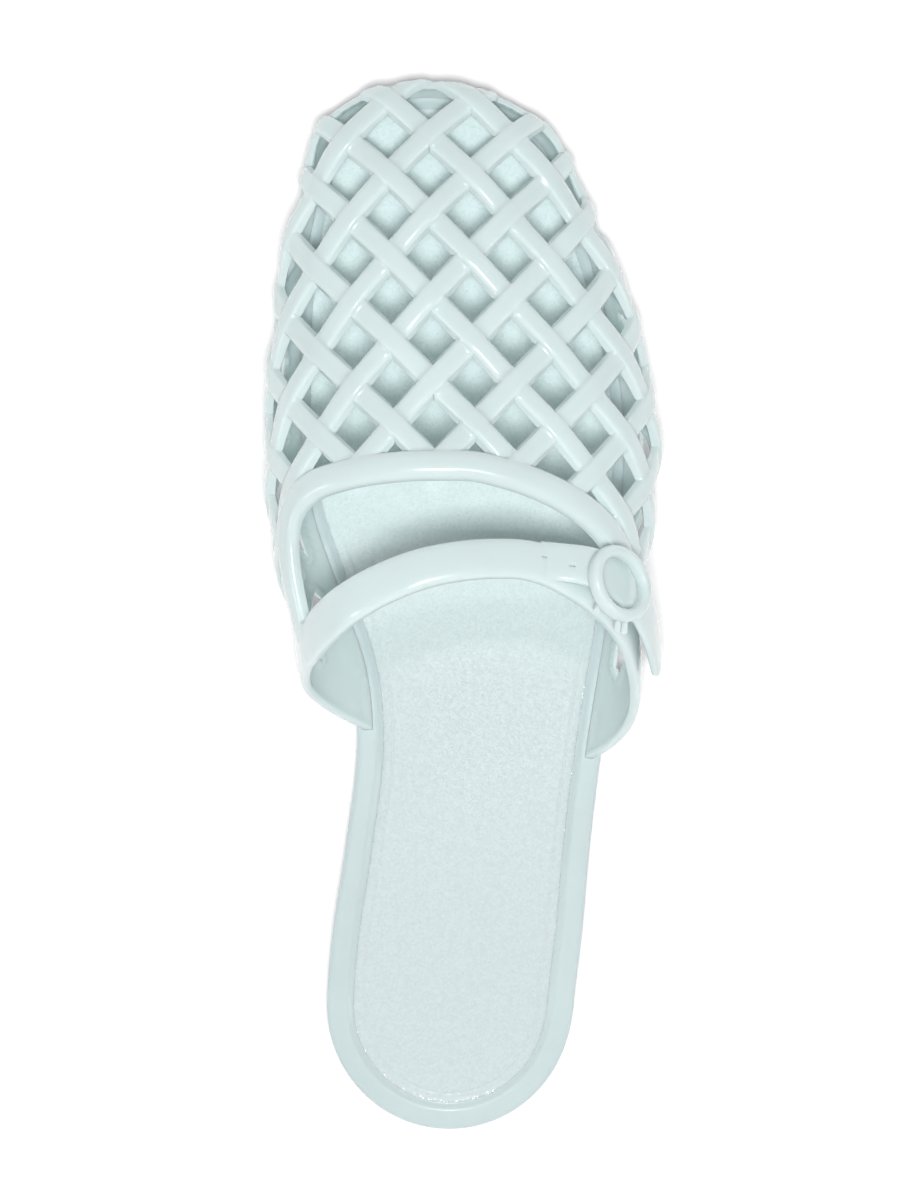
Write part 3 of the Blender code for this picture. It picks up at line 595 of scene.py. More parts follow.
def wall_lift(points, sizes):
    """Lift of the outer face from the last at each place in the pattern."""
    crown, swing = sizes.strip_crown / MM, sizes.weave_rise / MM
    a, b = pattern_to_weave(points)
    strips = strip_lift(a, b, 1.0, crown, swing), strip_lift(b, a, -1.0, crown, swing)
    weave = np.maximum(soft_max(*strips, STRIP_FILLET), -crown)
    foot = foot_girth(points)
    sunk = FOOT_LIFT + (weave - FOOT_LIFT) * smooth_step(foot / FOOT_BAND)
    weave = np.where(foot < FOOT_BAND + MERGE, np.maximum(sunk, FOOT_LIFT), weave)
    collar, back = band_distances(points)
    weave = np.where((collar > 0.0) & (back > 0.0), weave, -WALL)
    entered = smooth_step((STRAP_HALF - back) / STRAP_HALF)
    collar_top = COLLAR_LIFT + (STRAP_LIFT - COLLAR_LIFT) * entered
    lift = np.maximum(weave, band_lift(collar, COLLAR_HALF, collar_top, COLLAR_CROWN))
    return np.maximum(lift, band_lift(back, STRAP_HALF, STRAP_LIFT, STRAP_CROWN))


def girth_line(short):
    """A line in the pattern that runs around the wall, a little short of its feather edge."""
    rows = np.arange(len(LAST.girth))
    mirrored = np.minimum(rows, len(LAST.girth) - 1 - rows)
    turns = (rows - STATION_STEPS + 1) / FAN_STEPS - 1.0
    fan = np.abs(turns) < 1.0
    sideways = np.where(fan, np.sin(turns * 0.5 * math.pi), np.sign(turns))
    arc = LAST.girth[rows] - short
    behind = LAST.crest_q[np.minimum(mirrored, STATION_STEPS - 1)]
    forward = np.where(fan, arc * np.cos(turns * 0.5 * math.pi), behind)
    return np.stack([arc * sideways, forward], axis=1)


def split_runs(line, keep):
    """The stretches of a line whose points are kept."""
    runs = np.split(np.arange(len(line)), np.nonzero(~keep)[0])
    runs = [run[keep[run]] for run in runs]
    return [line[run] for run in runs if len(run) > 1]


def weave_ticks():
    """Weave places of the mesh lines: close together across a strip, even along the gaps."""
    across = 0.5 + STRIP_HALF * np.sin(np.linspace(-0.5 * math.pi, 0.5 * math.pi, 2 * STRIP_STEPS + 1))
    span = np.linspace(STRIP_HALF - 0.5, 0.5 - STRIP_HALF, SPAN_STEPS + 1)[1:-1]
    cell = np.concatenate([span, across])
    return np.concatenate([whole + cell for whole in range(-WEAVE_REACH, WEAVE_REACH)])


def in_strip(across):
    return np.abs(strip_offset(across)) < 1.0 + TINY


def on_strip_edge(across):
    return np.abs(np.abs(strip_offset(across)) - 1.0) < TINY


def on_vamp(points, margin):
    """Whether places lie on the woven part, clear of the bands by a margin."""
    collar, back = band_distances(points)
    return (collar > COLLAR_HALF + margin) & (back > STRAP_HALF + margin)


def weave_points():
    """Free points of the woven part's mesh, off the lines that bound it."""
    ticks = weave_ticks()
    a, b = (values.ravel() for values in np.meshgrid(ticks, ticks))
    places = weave_to_pattern(a, b)
    foot = foot_girth(places)
    free = (places[:, 1] > LAST.crest_q[0]) & (foot > CLEAR) & (np.abs(foot - FOOT_BAND) > CLEAR)
    free &= (in_strip(a) | in_strip(b) | (foot < FOOT_BAND)) & ~on_strip_edge(a) & ~on_strip_edge(b)
    places = places[free]
    return places[on_vamp(places, CLEAR)]


def strip_edges():
    """Edges of the strips, run on a little into the bands and the foot of the wall."""
    along = np.sort(weave_ticks())
    edges = []
    for whole in range(-WEAVE_REACH, WEAVE_REACH):
        for side in (-STRIP_HALF, STRIP_HALF):
            across = np.full(len(along), whole + 0.5 + side)
            for line in (weave_to_pattern(across, along), weave_to_pattern(along, across)):
                keep = (foot_girth(line) > FOOT_BAND - OVERRUN) & (line[:, 1] > LAST.crest_q[0])
                keep[keep] = on_vamp(line[keep], -OVERRUN)
                edges += split_runs(line, keep)
    return edges


def band_lines():
    """Lines along the collar, the straps and the foot of the wall."""
    shares = np.sin(np.linspace(-0.5 * math.pi, 0.5 * math.pi, 2 * BAND_STEPS + 1))
    lines = []
    for number, share in enumerate(shares):
        overrun = -OVERRUN if number in (0, len(shares) - 1) else CLEAR
        line = beside(COLLAR_LINE, share * COLLAR_HALF)
        lines += split_runs(line, side_distance(BACK_LINE, line) > STRAP_HALF + overrun)
        line = beside(BACK_LINE, share * STRAP_HALF)
        lines += split_runs(line, (foot_girth(line) > overrun) & (line[:, 1] > LAST.crest_q[0]))
    foot = girth_line(FOOT_BAND)
    lines += split_runs(foot, on_vamp(foot, -OVERRUN))
    feather = girth_line(0.0)
    lines += split_runs(feather, side_distance(BACK_LINE, feather) > -STRAP_HALF - OVERRUN)
    return lines


def solid_triangles(flat, triangles):
    """Which triangles of the divided pattern carry the wall. The others are gaps or lie outside."""
    centres = flat[triangles].mean(axis=1)
    collar, back = band_distances(centres)
    foot = foot_girth(centres)
    a, b = pattern_to_weave(centres)
    vamp = (collar > COLLAR_HALF) & (back > STRAP_HALF)
    gap = vamp & (foot > FOOT_BAND) & ~in_strip(a) & ~in_strip(b)
    corner = flat[triangles[:, 0]]
    left, right = flat[triangles[:, 1]] - corner, flat[triangles[:, 2]] - corner
    area = 0.5 * np.abs(left[:, 0] * right[:, 1] - left[:, 1] * right[:, 0])
    cell = np.stack([np.round(a), np.round(b)], axis=1)
    names, member = np.unique(cell, axis=0, return_inverse=True)
    member = member.ravel()
    room = np.bincount(member, weights=np.where(gap, area, 0.0), minlength=len(names))
    gap &= room[member] > SMALLEST_GAP_AREA
    band = (np.abs(back) <= STRAP_HALF) | ((np.abs(collar) <= COLLAR_HALF) & (back > -STRAP_HALF))
    return (foot > 0.0) & (band | (vamp & ~gap))


def divided_pattern():
    """Points and solid triangles of the upper's flat pattern."""
    places, links = [], []
    for line in (*strip_edges(), *band_lines()):
        first = len(places)
        places.extend(line.tolist())
        links.extend((first + i, first + i + 1) for i in range(len(line) - 1))
    places.extend(weave_points().tolist())
    flat, _, triangles, *_ = delaunay_2d_cdt([Vector(place) for place in places], links, [], 0, MERGE)
    flat = np.array([tuple(place) for place in flat])
    triangles = np.array([tuple(triangle) for triangle in triangles])
    triangles = triangles[solid_triangles(flat, triangles)]
    used, triangles = np.unique(triangles, return_inverse=True)
    return flat[used], triangles.reshape(-1, 3)


def border_edges(triangles):
    """Edges of a set of triangles that only one of them has, in its own direction."""
    edges = {(a, b) for tri in triangles.tolist() for a, b in zip(tri, (tri[1], tri[2], tri[0]))}
    return [(a, b) for a, b in edges if (b, a) not in edges]


def edge_distance(flat, border):
    """Distance of each place from the nearest open edge."""
    marks = np.concatenate([flat[[a for a, _ in border]], *(
        flat[[a for a, _ in border]] * (1.0 - share) + flat[[b for _, b in border]] * share
        for share in (1.0 / 3.0, 2.0 / 3.0))])
    tree = kdtree.KDTree(len(marks))
    for number, mark in enumerate(marks.tolist()):
        tree.insert((*mark, 0.0), number)
    tree.balance()
    return np.array([tree.find((*place, 0.0))[2] for place in flat.tolist()])


def outward_ways(flat, border):
    """Unit ways out of the pattern at the ends of its open edges, and nothing elsewhere."""
    start, end = np.array(border).T
    step = flat[end] - flat[start]
    out = np.stack([step[:, 1], -step[:, 0]], axis=1) / np.linalg.norm(step, axis=1, keepdims=True)
    ways = np.zeros_like(flat)
    np.add.at(ways, start, out)
    np.add.at(ways, end, out)
    return ways / np.maximum(np.linalg.norm(ways, axis=1, keepdims=True), TINY)


def wall_frame(flat, foot):
    """Points on the last and the wall's outward ways there, level at the foot."""
    points, normals = LAST.at(flat[:, 0], flat[:, 1])
    normals[:, 2] *= np.clip(foot / FOOT_TURN, 0.0, 1.0)
    return points, normals / np.linalg.norm(normals, axis=1, keepdims=True)


def upper_mesh(sizes):
    """Points and faces of the upper's wall: outer face with its relief, rounded inner face, edges."""
    flat, triangles = divided_pattern()
    border = border_edges(triangles)
    apart = edge_distance(flat, border)
    foot = foot_girth(flat)
    points, normals = wall_frame(flat, foot)
    lift = wall_lift(flat, sizes)
    inner_round = sizes.inner_round / MM
    plain = (foot < FOOT_BAND + MERGE) & on_vamp(flat, 0.0)
    seated = inner_round * smooth_step(foot / FOOT_ROUND)
    lift -= np.where(plain, seated * rounded(1.0 - apart / FOOT_ROUND, 2.0), 0.0)
    outer = points + normals * lift[:, None]
    soft = seated * rounded(1.0 - apart / (2.0 * inner_round), 2.0)
    draft = np.where(on_vamp(flat, -MERGE) & (foot > FOOT_BAND - MERGE), FLANK_DRAFT, 0.0)
    points, normals = wall_frame(flat + outward_ways(flat, border) * draft[:, None], foot)
    inner = points - normals * (WALL - soft)[:, None]
    sunk = FOOT_SINK * (1.0 - smooth_step(foot / FOOT_BAND))
    outer[:, 2] -= sunk
    inner[:, 2] -= sunk
    count = len(flat)
    faces = [tuple(tri) for tri in triangles.tolist()]
    faces += [(c + count, b + count, a + count) for a, b, c in triangles.tolist()]
    faces += [(b, a, a + count, b + count) for a, b in border]
    return np.concatenate([outer, inner]), faces


def tube_faces(rings, size, closed):
    """Faces around a row of rings. An open row gets a cap at each end."""
    faces = []
    for ring in range(rings if closed else rings - 1):
        near, far = ring * size, (ring + 1) % rings * size
        faces += [(near + i, near + (i + 1) % size, far + (i + 1) % size, far + i) for i in range(size)]
    if not closed:
        faces += [tuple(range(size))[::-1], tuple(range((rings - 1) * size, rings * size))]
    return faces


def oval(count, half_width, half_height, power):
    """A closed rounded section as places across and up."""
    turn = np.arange(count) * 2.0 * math.pi / count
    across = np.sign(np.cos(turn)) * np.abs(np.cos(turn)) ** (2.0 / power)
    up = np.sign(np.sin(turn)) * np.abs(np.sin(turn)) ** (2.0 / power)
    return np.stack([half_width * across, half_height * up], axis=1)


def tail_mesh():
    """Free end of the strap: it climbs over the short strap and stands off at its rounded tip."""
    travelled = arc_length(TAIL_LINE)
    length = travelled[-1]
    tip = length - TAIL_TIP_ROUND * (1.0 - np.sin(np.linspace(0.0, 0.5 * math.pi, TIP_STEPS)))
    stops = np.concatenate([np.linspace(0.0, length - TAIL_TIP_ROUND, TAIL_STEPS)[:-1], tip])
    left = line_normals(TAIL_LINE)
    section = oval(TAIL_SIDES, STRAP_HALF, 0.5 * TAIL_THICKNESS, TAIL_POWER)
    points = []
    for stop in stops:
        past = max(0.0, stop - length + TAIL_TIP_ROUND)
        drawn = TAIL_TIP_ROUND - math.sqrt(TAIL_TIP_ROUND ** 2 - past ** 2)
        centre = np.array([np.interp(stop, travelled, values) for values in TAIL_LINE.T])
        normal = np.array([np.interp(stop, travelled, values) for values in left.T])
        flat = centre + section[:, :1] * (1.0 - drawn / STRAP_HALF) * normal
        base, out = LAST.at(flat[:, 0], flat[:, 1])
        up = section[:, 1:] * (1.0 - TAIL_TIP_THIN * drawn / TAIL_TIP_ROUND)
        points.append(base + out * (tail_underside(stop) + 0.5 * TAIL_THICKNESS + up))
    return np.concatenate(points), tube_faces(len(stops), TAIL_SIDES, False)


def pinhole_mesh(p, q, mouth):
    """An oval rod that cuts one pinhole, its length along the strap."""
    nearest = np.argmin(np.linalg.norm(TAIL_LINE - (p, q), axis=1))
    nearest = np.clip(nearest, 1, len(TAIL_LINE) - 2)
    ahead, behind = TAIL_LINE[nearest + 1], TAIL_LINE[nearest - 1]
    base, out = LAST.at(p, q)
    along = LAST.at(*ahead)[0] - LAST.at(*behind)[0]
    along -= out * np.dot(along, out)
    along /= np.linalg.norm(along)
    across = np.cross(out, along)
    section = oval(PINHOLE_SIDES, PINHOLE_HALF_LENGTH, PINHOLE_HALF_WIDTH, 2.0)
    circle = section[:, :1] * along + section[:, 1:] * across
    ends = [base + out * (mouth - PINHOLE_DEPTH) + circle, base + out * (mouth + PINHOLE_ABOVE) + circle]
    return np.concatenate(ends), tube_faces(len(ends), PINHOLE_SIDES, False)


def rod_mesh(tip, root):
    """A short round leg between two points."""
    axis = (root - tip) / np.linalg.norm(root - tip)
    side = np.cross(axis, (0.0, 1.0, 0.0))
    side /= np.linalg.norm(side)
    other = np.cross(axis, side)
    circle = oval(LEG_SIDES, LEG_RADIUS, LEG_RADIUS, 2.0)
    circle = circle[:, :1] * side + circle[:, 1:] * other
    return np.concatenate([tip + circle, root + circle]), tube_faces(2, LEG_SIDES, False)


def ring_frame():
    """Seat of the ring: its centre, the strap's direction, the way across it and the outward way."""
    centre = np.array(RING_PLACE)
    nearest = np.argmin(np.linalg.norm(TAIL_LINE - centre, axis=1))
    flat_along = TAIL_LINE[nearest + 1] - TAIL_LINE[nearest - 1]
    flat_along /= np.linalg.norm(flat_along)
    base, out = LAST.at(*centre)
    out = out + RING_LEAN * np.array([0.0, 1.0, 0.0])
    out /= np.linalg.norm(out)
    ahead = LAST.at(*(centre + flat_along))[0] - LAST.at(*(centre - flat_along))[0]
    along = ahead - out * np.dot(ahead, out)
    along /= np.linalg.norm(along)
    return base + out * RING_SEAT, along, np.cross(out, along), out


def ring_mesh():
    """The ring on the strap, with a rounded section."""
    centre, along, across, out = ring_frame()
    section = oval(RING_SIDES, RING_HALF_WIDTH, RING_HALF_HEIGHT, RING_POWER)
    points = []
    for turn in np.arange(RING_TURNS) * 2.0 * math.pi / RING_TURNS:
        outward = along * math.cos(turn) + across * math.sin(turn)
        points.append(centre + (RING_RADIUS + section[:, :1]) * outward + section[:, 1:] * out)
    return np.concatenate(points), tube_faces(RING_TURNS, RING_SIDES, True)


def leg_ends():
    """Tip and root of each short leg under the ring's lower side."""
    centre, *ways = ring_frame()
    return [(centre + np.array(tip) @ np.stack(ways), centre + np.array(root) @ np.stack(ways))
            for root, tip in LEG_ROWS]


def tread_grooves():
    return np.concatenate([np.arange(first, last, TREAD_PITCH) for first, last in TREAD_PATCHES])


def sole_stations():
    """Stations of the sole's mesh: closer at heel and toe, with the edges of the tread's grooves."""
    even = LENGTH * 0.5 * (1.0 - np.cos(np.linspace(0.0, math.pi, SOLE_STEPS + 1)))
    grooves = tread_grooves()
    clear = np.abs(even[:, None] - grooves).min(axis=1) > TREAD_WIDTH
    cuts = (grooves[:, None] + TREAD_WIDTH * np.array(TREAD_SHARES)).ravel()
    return np.sort(np.concatenate([even[clear], cuts]))


STATIONS = sole_stations()


def outline_ring(inset):
    """Points of the sole outline moved in: up the lateral side from heel to toe, back on the medial."""
    medial, lateral = sides(sole_medial, sole_lateral, STATIONS)
    x = np.concatenate([lateral, medial[-2:0:-1]])
    stations = np.concatenate([STATIONS, STATIONS[-2:0:-1]])
    ring = np.stack([x, stations - 0.5 * LENGTH], axis=1)
    wrapped = np.concatenate([ring[-2:], ring, ring[:2]])
    along = np.gradient(wrapped, arc_length(wrapped), axis=0)[2:-2]
    along /= np.linalg.norm(along, axis=1, keepdims=True)
    return ring + inset * np.stack([-along[:, 1], along[:, 0]], axis=1), stations


def ring_stack(levels):
    """Rings of the sole outline with faces between them. Each level is an inset and a height curve."""
    points, faces = [], []
    for inset, height in levels:
        ring, stations = outline_ring(inset)
        points.append(np.column_stack([ring, height(stations)]))
    size = len(points[0])
    for low in range(0, size * (len(levels) - 1), size):
        high = low + size
        faces += [(low + i, low + (i + 1) % size, high + (i + 1) % size, high + i) for i in range(size)]
    return np.concatenate(points), faces


def ladder_cap(points, first, relief, facing_up):
    """Faces across a ring, joining its two sides station by station, with shaped points in between."""
    size = 2 * len(STATIONS) - 2
    shares = np.arange(1, SHEET_COLUMNS) / SHEET_COLUMNS
    extra, rows, faces = [], [], []
    for i, station in enumerate(STATIONS):
        right, left = first + i, first + (size - i) % size
        if right == left:
            rows.append([right] * (SHEET_COLUMNS + 1))
            continue
        line = points[left] + (points[right] - points[left]) * shares[:, None]
        line[:, 2] += relief(station, shares, points[right][0] - points[left][0])
        begin = len(points) + len(extra)
        extra.extend(line)
        rows.append([left, *range(begin, begin + len(shares)), right])
    for near, far in zip(rows, rows[1:]):
        for j in range(SHEET_COLUMNS):
            face = tuple(dict.fromkeys((near[j], near[j + 1], far[j + 1], far[j])))
            faces.append(face if facing_up else face[::-1])
    return np.concatenate([points, np.array(extra)]), faces


def level_cap(station, shares, width):
    """A cap with no relief."""
    return 0.0 * shares


def dished_cap(station, shares, width):
    """A cap that sinks to its middle, less where it is narrow."""
    return -4.0 * SHEET_DISH * shares * (1.0 - shares) * min(1.0, width / DISH_WIDTH) ** 2


def below_rim(depth):
    return lambda station: rim_height(station) - depth


def above_bottom(height):
    return lambda station: sole_bottom(station) + height


def rim_fall(inset, corner):
    """Fall of the rim's face: a round outer corner, a slight crown, a soft shoulder to the sock sheet."""
    outer = corner * rounded(np.maximum(1.0 - inset / corner, 0.0), 2.0)
    crown = RIM_CROWN * (2.0 * inset / RIM_WIDTH - 1.0) ** 2
    return outer + crown + SHEET_TOP * smooth_step((inset - RIM_WIDTH + RIM_SHOULDER) / RIM_SHOULDER)


def outsole_mesh(sizes):
    """Bottom unit: treaded underside, rounded edge, side, arched rim bead and the footbed's recess."""
    rim_corner, tread_depth = sizes.rim_corner / MM, sizes.tread_depth / MM
    grooves = tread_grooves()

    def tread(station, shares, width):
        cut = np.abs(grooves - station).min() < TREAD_WIDTH * TREAD_REACH
        return np.where(cut & (np.abs(shares - 0.5) < TREAD_REACH), tread_depth, 0.0)

    levels = [(EDGE_ROUND * (1.0 - math.sin(turn)), above_bottom(EDGE_ROUND * (1.0 - math.cos(turn))))
              for turn in np.linspace(0.0, 0.5 * math.pi, EDGE_STEPS)]
    for inset in 0.5 * RIM_WIDTH * (1.0 - np.cos(np.linspace(0.0, math.pi, RIM_STEPS))):
        levels.append((inset, below_rim(rim_fall(inset, rim_corner))))
    levels.append((RIM_WIDTH, below_rim(FOOTBED_DEPTH + INSOLE_THICKNESS + GAP)))
    points, faces = ring_stack(levels)
    top = len(points) - len(points) // len(levels)
    points, bottom_faces = ladder_cap(points, 0, tread, False)
    points, top_faces = ladder_cap(points, top, level_cap, True)
    return points, faces + bottom_faces + top_faces


def insole_mesh(sizes):
    """Sock sheet in the recess: welded edge, pressed line inside it and a slight dish."""
    edge = RIM_WIDTH + SHEET_GAP
    line_depth = sizes.line_depth / MM
    levels = [(edge, below_rim(FOOTBED_DEPTH + INSOLE_THICKNESS)), (edge, below_rim(SHEET_TOP))]
    welded = len(levels)
    levels.append((edge + WELT_WIDTH, below_rim(SHEET_TOP + WELT_DROP)))
    for offset in np.linspace(-LINE_HALF, LINE_HALF, LINE_STEPS):
        pressed = line_depth * 0.5 * (1.0 + math.cos(math.pi * offset / LINE_HALF))
        levels.append((edge + LINE_INSET + offset, below_rim(SHEET_TOP + WELT_DROP + pressed)))
    points, faces = ring_stack(levels)
    size = len(points) // len(levels)
    top = len(points) - size
    points, bottom_faces = ladder_cap(points, 0, level_cap, False)
    points, top_faces = ladder_cap(points, top, dished_cap, True)
    welt = np.where(np.arange(len(points)) < welded * size, 1.0, 0.0)
    return points, faces + bottom_faces + top_faces, welt


def linear(code):
    """Linear light from an sRGB colour code."""
    shares = [int(code[place:place + 2], 16) / 255.0 for place in (1, 3, 5)]
    return [share / 12.92 if share <= 0.04045 else ((share + 0.055) / 1.055) ** 2.4 for share in shares]


def set_sockets(tree, node, inputs):
    """Give sockets of a node a constant, or join them to another node's socket."""
    for name, value in inputs.items():
        if isinstance(value, bpy.types.NodeSocket):
            tree.links.new(value, node.inputs[name])
        else:
            node.inputs[name].default_value = value


def add_node(tree, kind, inputs, **settings):
    """One node with its settings and sockets."""
    node = tree.nodes.new(kind)
    for name, value in settings.items():
        setattr(node, name, value)
    set_sockets(tree, node, inputs)
    return node


def per_mm(size):
    """Scale of a pattern whose features are a size in millimetres apart."""
    return 1.0 / (size * MM)


def blank_material(name):
    """A material with a Principled shader, its node tree and the object's own coordinates."""
    material = bpy.data.materials.new(name)
    material.use_nodes = True
    tree = material.node_tree
    place = add_node(tree, "ShaderNodeTexCoord", {}).outputs["Object"]
    return material, tree, tree.nodes["Principled BSDF"], place


def soft_pvc(name, colour, roughness, depth):
    """Injection-moulded soft PVC: milky, glossy and faintly uneven, so that highlights waver."""
    material, tree, shader, place = blank_material(name)
    # Milky clouds in the compound, a few centimetres across
    clouds = add_node(tree, "ShaderNodeTexNoise", {
        "Vector": place, "Scale": per_mm(CLOUD_SIZE), "Detail": 3.0})
    tone = add_node(tree, "ShaderNodeMapRange", {
        "Value": clouds.outputs["Fac"], "From Min": 0.3, "From Max": 0.7,
        "To Min": 1.0 - CLOUD_SPREAD, "To Max": 1.0 + CLOUD_SPREAD})
    tinted = add_node(tree, "ShaderNodeVectorMath", {
        0: colour, "Scale": tone.outputs["Result"]}, operation="SCALE")
    # Slow waviness of a moulded skin, and the fine texture of the mould
    waves = add_node(tree, "ShaderNodeTexNoise", {
        "Vector": place, "Scale": per_mm(WAVE_SIZE), "Detail": 1.5})
    grain = add_node(tree, "ShaderNodeTexNoise", {
        "Vector": place, "Scale": per_mm(GRAIN_SIZE), "Detail": 2.0})
    wavy = add_node(tree, "ShaderNodeBump", {
        "Height": waves.outputs["Fac"], "Strength": 0.5, "Distance": WAVE_DEPTH * MM})
    bumped = add_node(tree, "ShaderNodeBump", {
        "Height": grain.outputs["Fac"], "Strength": 0.25, "Distance": GRAIN_DEPTH * MM,
        "Normal": wavy.outputs["Normal"]})
    # Light spreads a little way inside, so that thin strips glow and their shaded sides stay pale
    set_sockets(tree, shader, {
        "Base Color": tinted.outputs["Vector"], "Roughness": roughness, "IOR": 1.53,
        "Normal": bumped.outputs["Normal"], "Coat Weight": 0.3, "Coat Roughness": COAT_SHARE * roughness,
        "Subsurface Weight": 0.85, "Subsurface Radius": (1.0, 1.05, 1.03), "Subsurface Scale": depth})
    return material


def glitter_sheet(name, colour, painted_glow_colour, roughness, sparkle):
    """Pearly sock sheet with fine glitter: tiny flakes, each tilted its own way, under a satin face, with a
    painted glow under the vamp.
    """
    material, tree, shader, place = blank_material(name)
    # Flakes are drawn coarser than real ones so that they show at all from above
    flakes = add_node(tree, "ShaderNodeTexVoronoi", {
        "Vector": place, "Scale": per_mm(FLAKE_SIZE), "Randomness": 1.0})
    parts = add_node(tree, "ShaderNodeSeparateColor", {"Color": flakes.outputs["Color"]})
    bright = add_node(tree, "ShaderNodeMapRange", {
        "Value": parts.outputs["Red"], "To Min": 1.0 - sparkle, "To Max": 1.0 + sparkle})
    # Painted light: under the vamp the sheet is painted lighter and mintier. This painted glow stands in for
    # light shining through the moulding over it and bouncing under it
    along = add_node(tree, "ShaderNodeSeparateXYZ", {"Vector": place})
    under = add_node(tree, "ShaderNodeMapRange", {
        "Value": along.outputs["Y"], "From Min": PAINTED_GLOW_SPAN[0] * MM, "From Max": PAINTED_GLOW_SPAN[1] * MM})
    ground = add_node(tree, "ShaderNodeMix", {
        "Factor": under.outputs["Result"], "A": (*colour, 1.0), "B": (*painted_glow_colour, 1.0)}, data_type="RGBA")
    tinted = add_node(tree, "ShaderNodeVectorMath", {
        0: ground.outputs["Result"], "Scale": bright.outputs["Result"]}, operation="SCALE")
    gloss = add_node(tree, "ShaderNodeMapRange", {
        "Value": parts.outputs["Green"],
        "To Min": roughness - FLAKE_GLOSS, "To Max": roughness + FLAKE_GLOSS})
    # The welded edge is crumpled and shiny, and catches the light in short glints
    welt = add_node(tree, "ShaderNodeAttribute", {}, attribute_name=WELT).outputs["Fac"]
    crumple = add_node(tree, "ShaderNodeTexNoise", {
        "Vector": place, "Scale": per_mm(CRUMPLE_SIZE), "Detail": 2.0})
    folds = add_node(tree, "ShaderNodeBump", {
        "Height": crumple.outputs["Fac"], "Strength": welt, "Distance": CRUMPLE_DEPTH * MM})
    tilt = add_node(tree, "ShaderNodeBump", {
        "Height": parts.outputs["Blue"], "Strength": 0.35, "Distance": FLAKE_DEPTH * MM,
        "Normal": folds.outputs["Normal"]})
    set_sockets(tree, shader, {
        "Base Color": tinted.outputs["Vector"], "Roughness": gloss.outputs["Result"], "IOR": 1.5,
        "Normal": tilt.outputs["Normal"], "Coat Weight": welt, "Coat Roughness": 0.12,
        "Coat Normal": folds.outputs["Normal"]})
    return material


def white_board(name, colour):
    """Matt white board under the shoe: no gloss, so that it only shows the soft shadow."""
    material, tree, shader, _ = blank_material(name)
    set_sockets(tree, shader, {"Base Color": (*colour, 1.0), "Roughness": 0.9, "Specular IOR Level": 0.0})
    return material


def new_piece(name, points, faces, material):
    """One smooth piece in metres, with its faces turned outward."""
    mesh = bpy.data.meshes.new(name)
    mesh.from_pydata((points * MM).tolist(), [], [tuple(map(int, face)) for face in faces])
    body = bmesh.new()
    body.from_mesh(mesh)
    bmesh.ops.recalc_face_normals(body, faces=body.faces)
    body.to_mesh(mesh)
    body.free()
    mesh.materials.append(material)
    mesh.shade_smooth()
    piece = bpy.data.objects.new(name, mesh)
    bpy.context.collection.objects.link(piece)
    return piece


def combine(piece, operation, points, faces):
    """Add a closed shape to a piece, or cut it away, and keep the plain result."""
    tool = new_piece("tool", points, faces, piece.data.materials[0])
    change = piece.modifiers.new("combine", "BOOLEAN")
    change.operation = operation
    change.solver = "MANIFOLD"
    change.object = tool
    bpy.context.view_layer.update()
    plain = piece.data
    piece.data = bpy.data.meshes.new_from_object(piece.evaluated_get(bpy.context.evaluated_depsgraph_get()))
    if len(piece.data.vertices) in (0, len(plain.vertices)):
        raise RuntimeError(f"{piece.name}: the shapes could not be combined")
    piece.modifiers.clear()
    piece.data.name = plain.name
    bpy.data.objects.remove(tool)


def new_lamp(name, place, size, power):
    """A flat soft lamp that faces the shoe."""
    lamp = bpy.data.lights.new(name, "AREA")
    lamp.shape = "RECTANGLE"
    lamp.size, lamp.size_y = size
    lamp.energy = power
    holder = bpy.data.objects.new(name, lamp)
    holder.location = place
    holder.rotation_euler = Vector(place).to_track_quat("Z", "Y").to_euler()
    bpy.context.collection.objects.link(holder)
    return holder


def seat(piece, node):
    """Fix a piece with crisp corners to the shoe, in place of the solid, which it hides."""
    piece.data.set_sharp_from_angle(angle=math.radians(CRISP_ANGLE))
    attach(piece, BODY)
    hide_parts(node)


def length_property(name, description, default):
    return FloatProperty(name=name, description=description, default=default, min=0.0, precision=5,
                         subtype="DISTANCE", unit="LENGTH")


def share_property(name, description, default):
    return FloatProperty(name=name, description=description, default=default, min=0.0, max=1.0,
                         subtype="FACTOR")


def colour_property(name, description, code):
    return FloatVectorProperty(name=name, description=description, default=linear(code), min=0.0, max=1.0,
                               size=3, subtype="COLOR")


class MuleSizes(bpy.types.PropertyGroup):
    """Sizes of the shoe's relief"""
    strip_crown: length_property("Strip crown", "How far a strip's middle stands over its edges", 1.0 * MM)
    weave_rise: length_property("Weave rise", "How far a strip rises over the one it crosses", 0.4 * MM)
    inner_round: length_property("Edge round", "Rounding of the wall's edges", 0.4 * MM)
    rim_corner: length_property("Rim corner", "Rounding of the rim's outer edge", 1.3 * MM)
    line_depth: length_property("Pressed line", "Depth of the line along the sock sheet's edge", 0.1 * MM)
    tread_depth: length_property("Tread depth", "Depth of the grooves under the sole", 0.5 * MM)


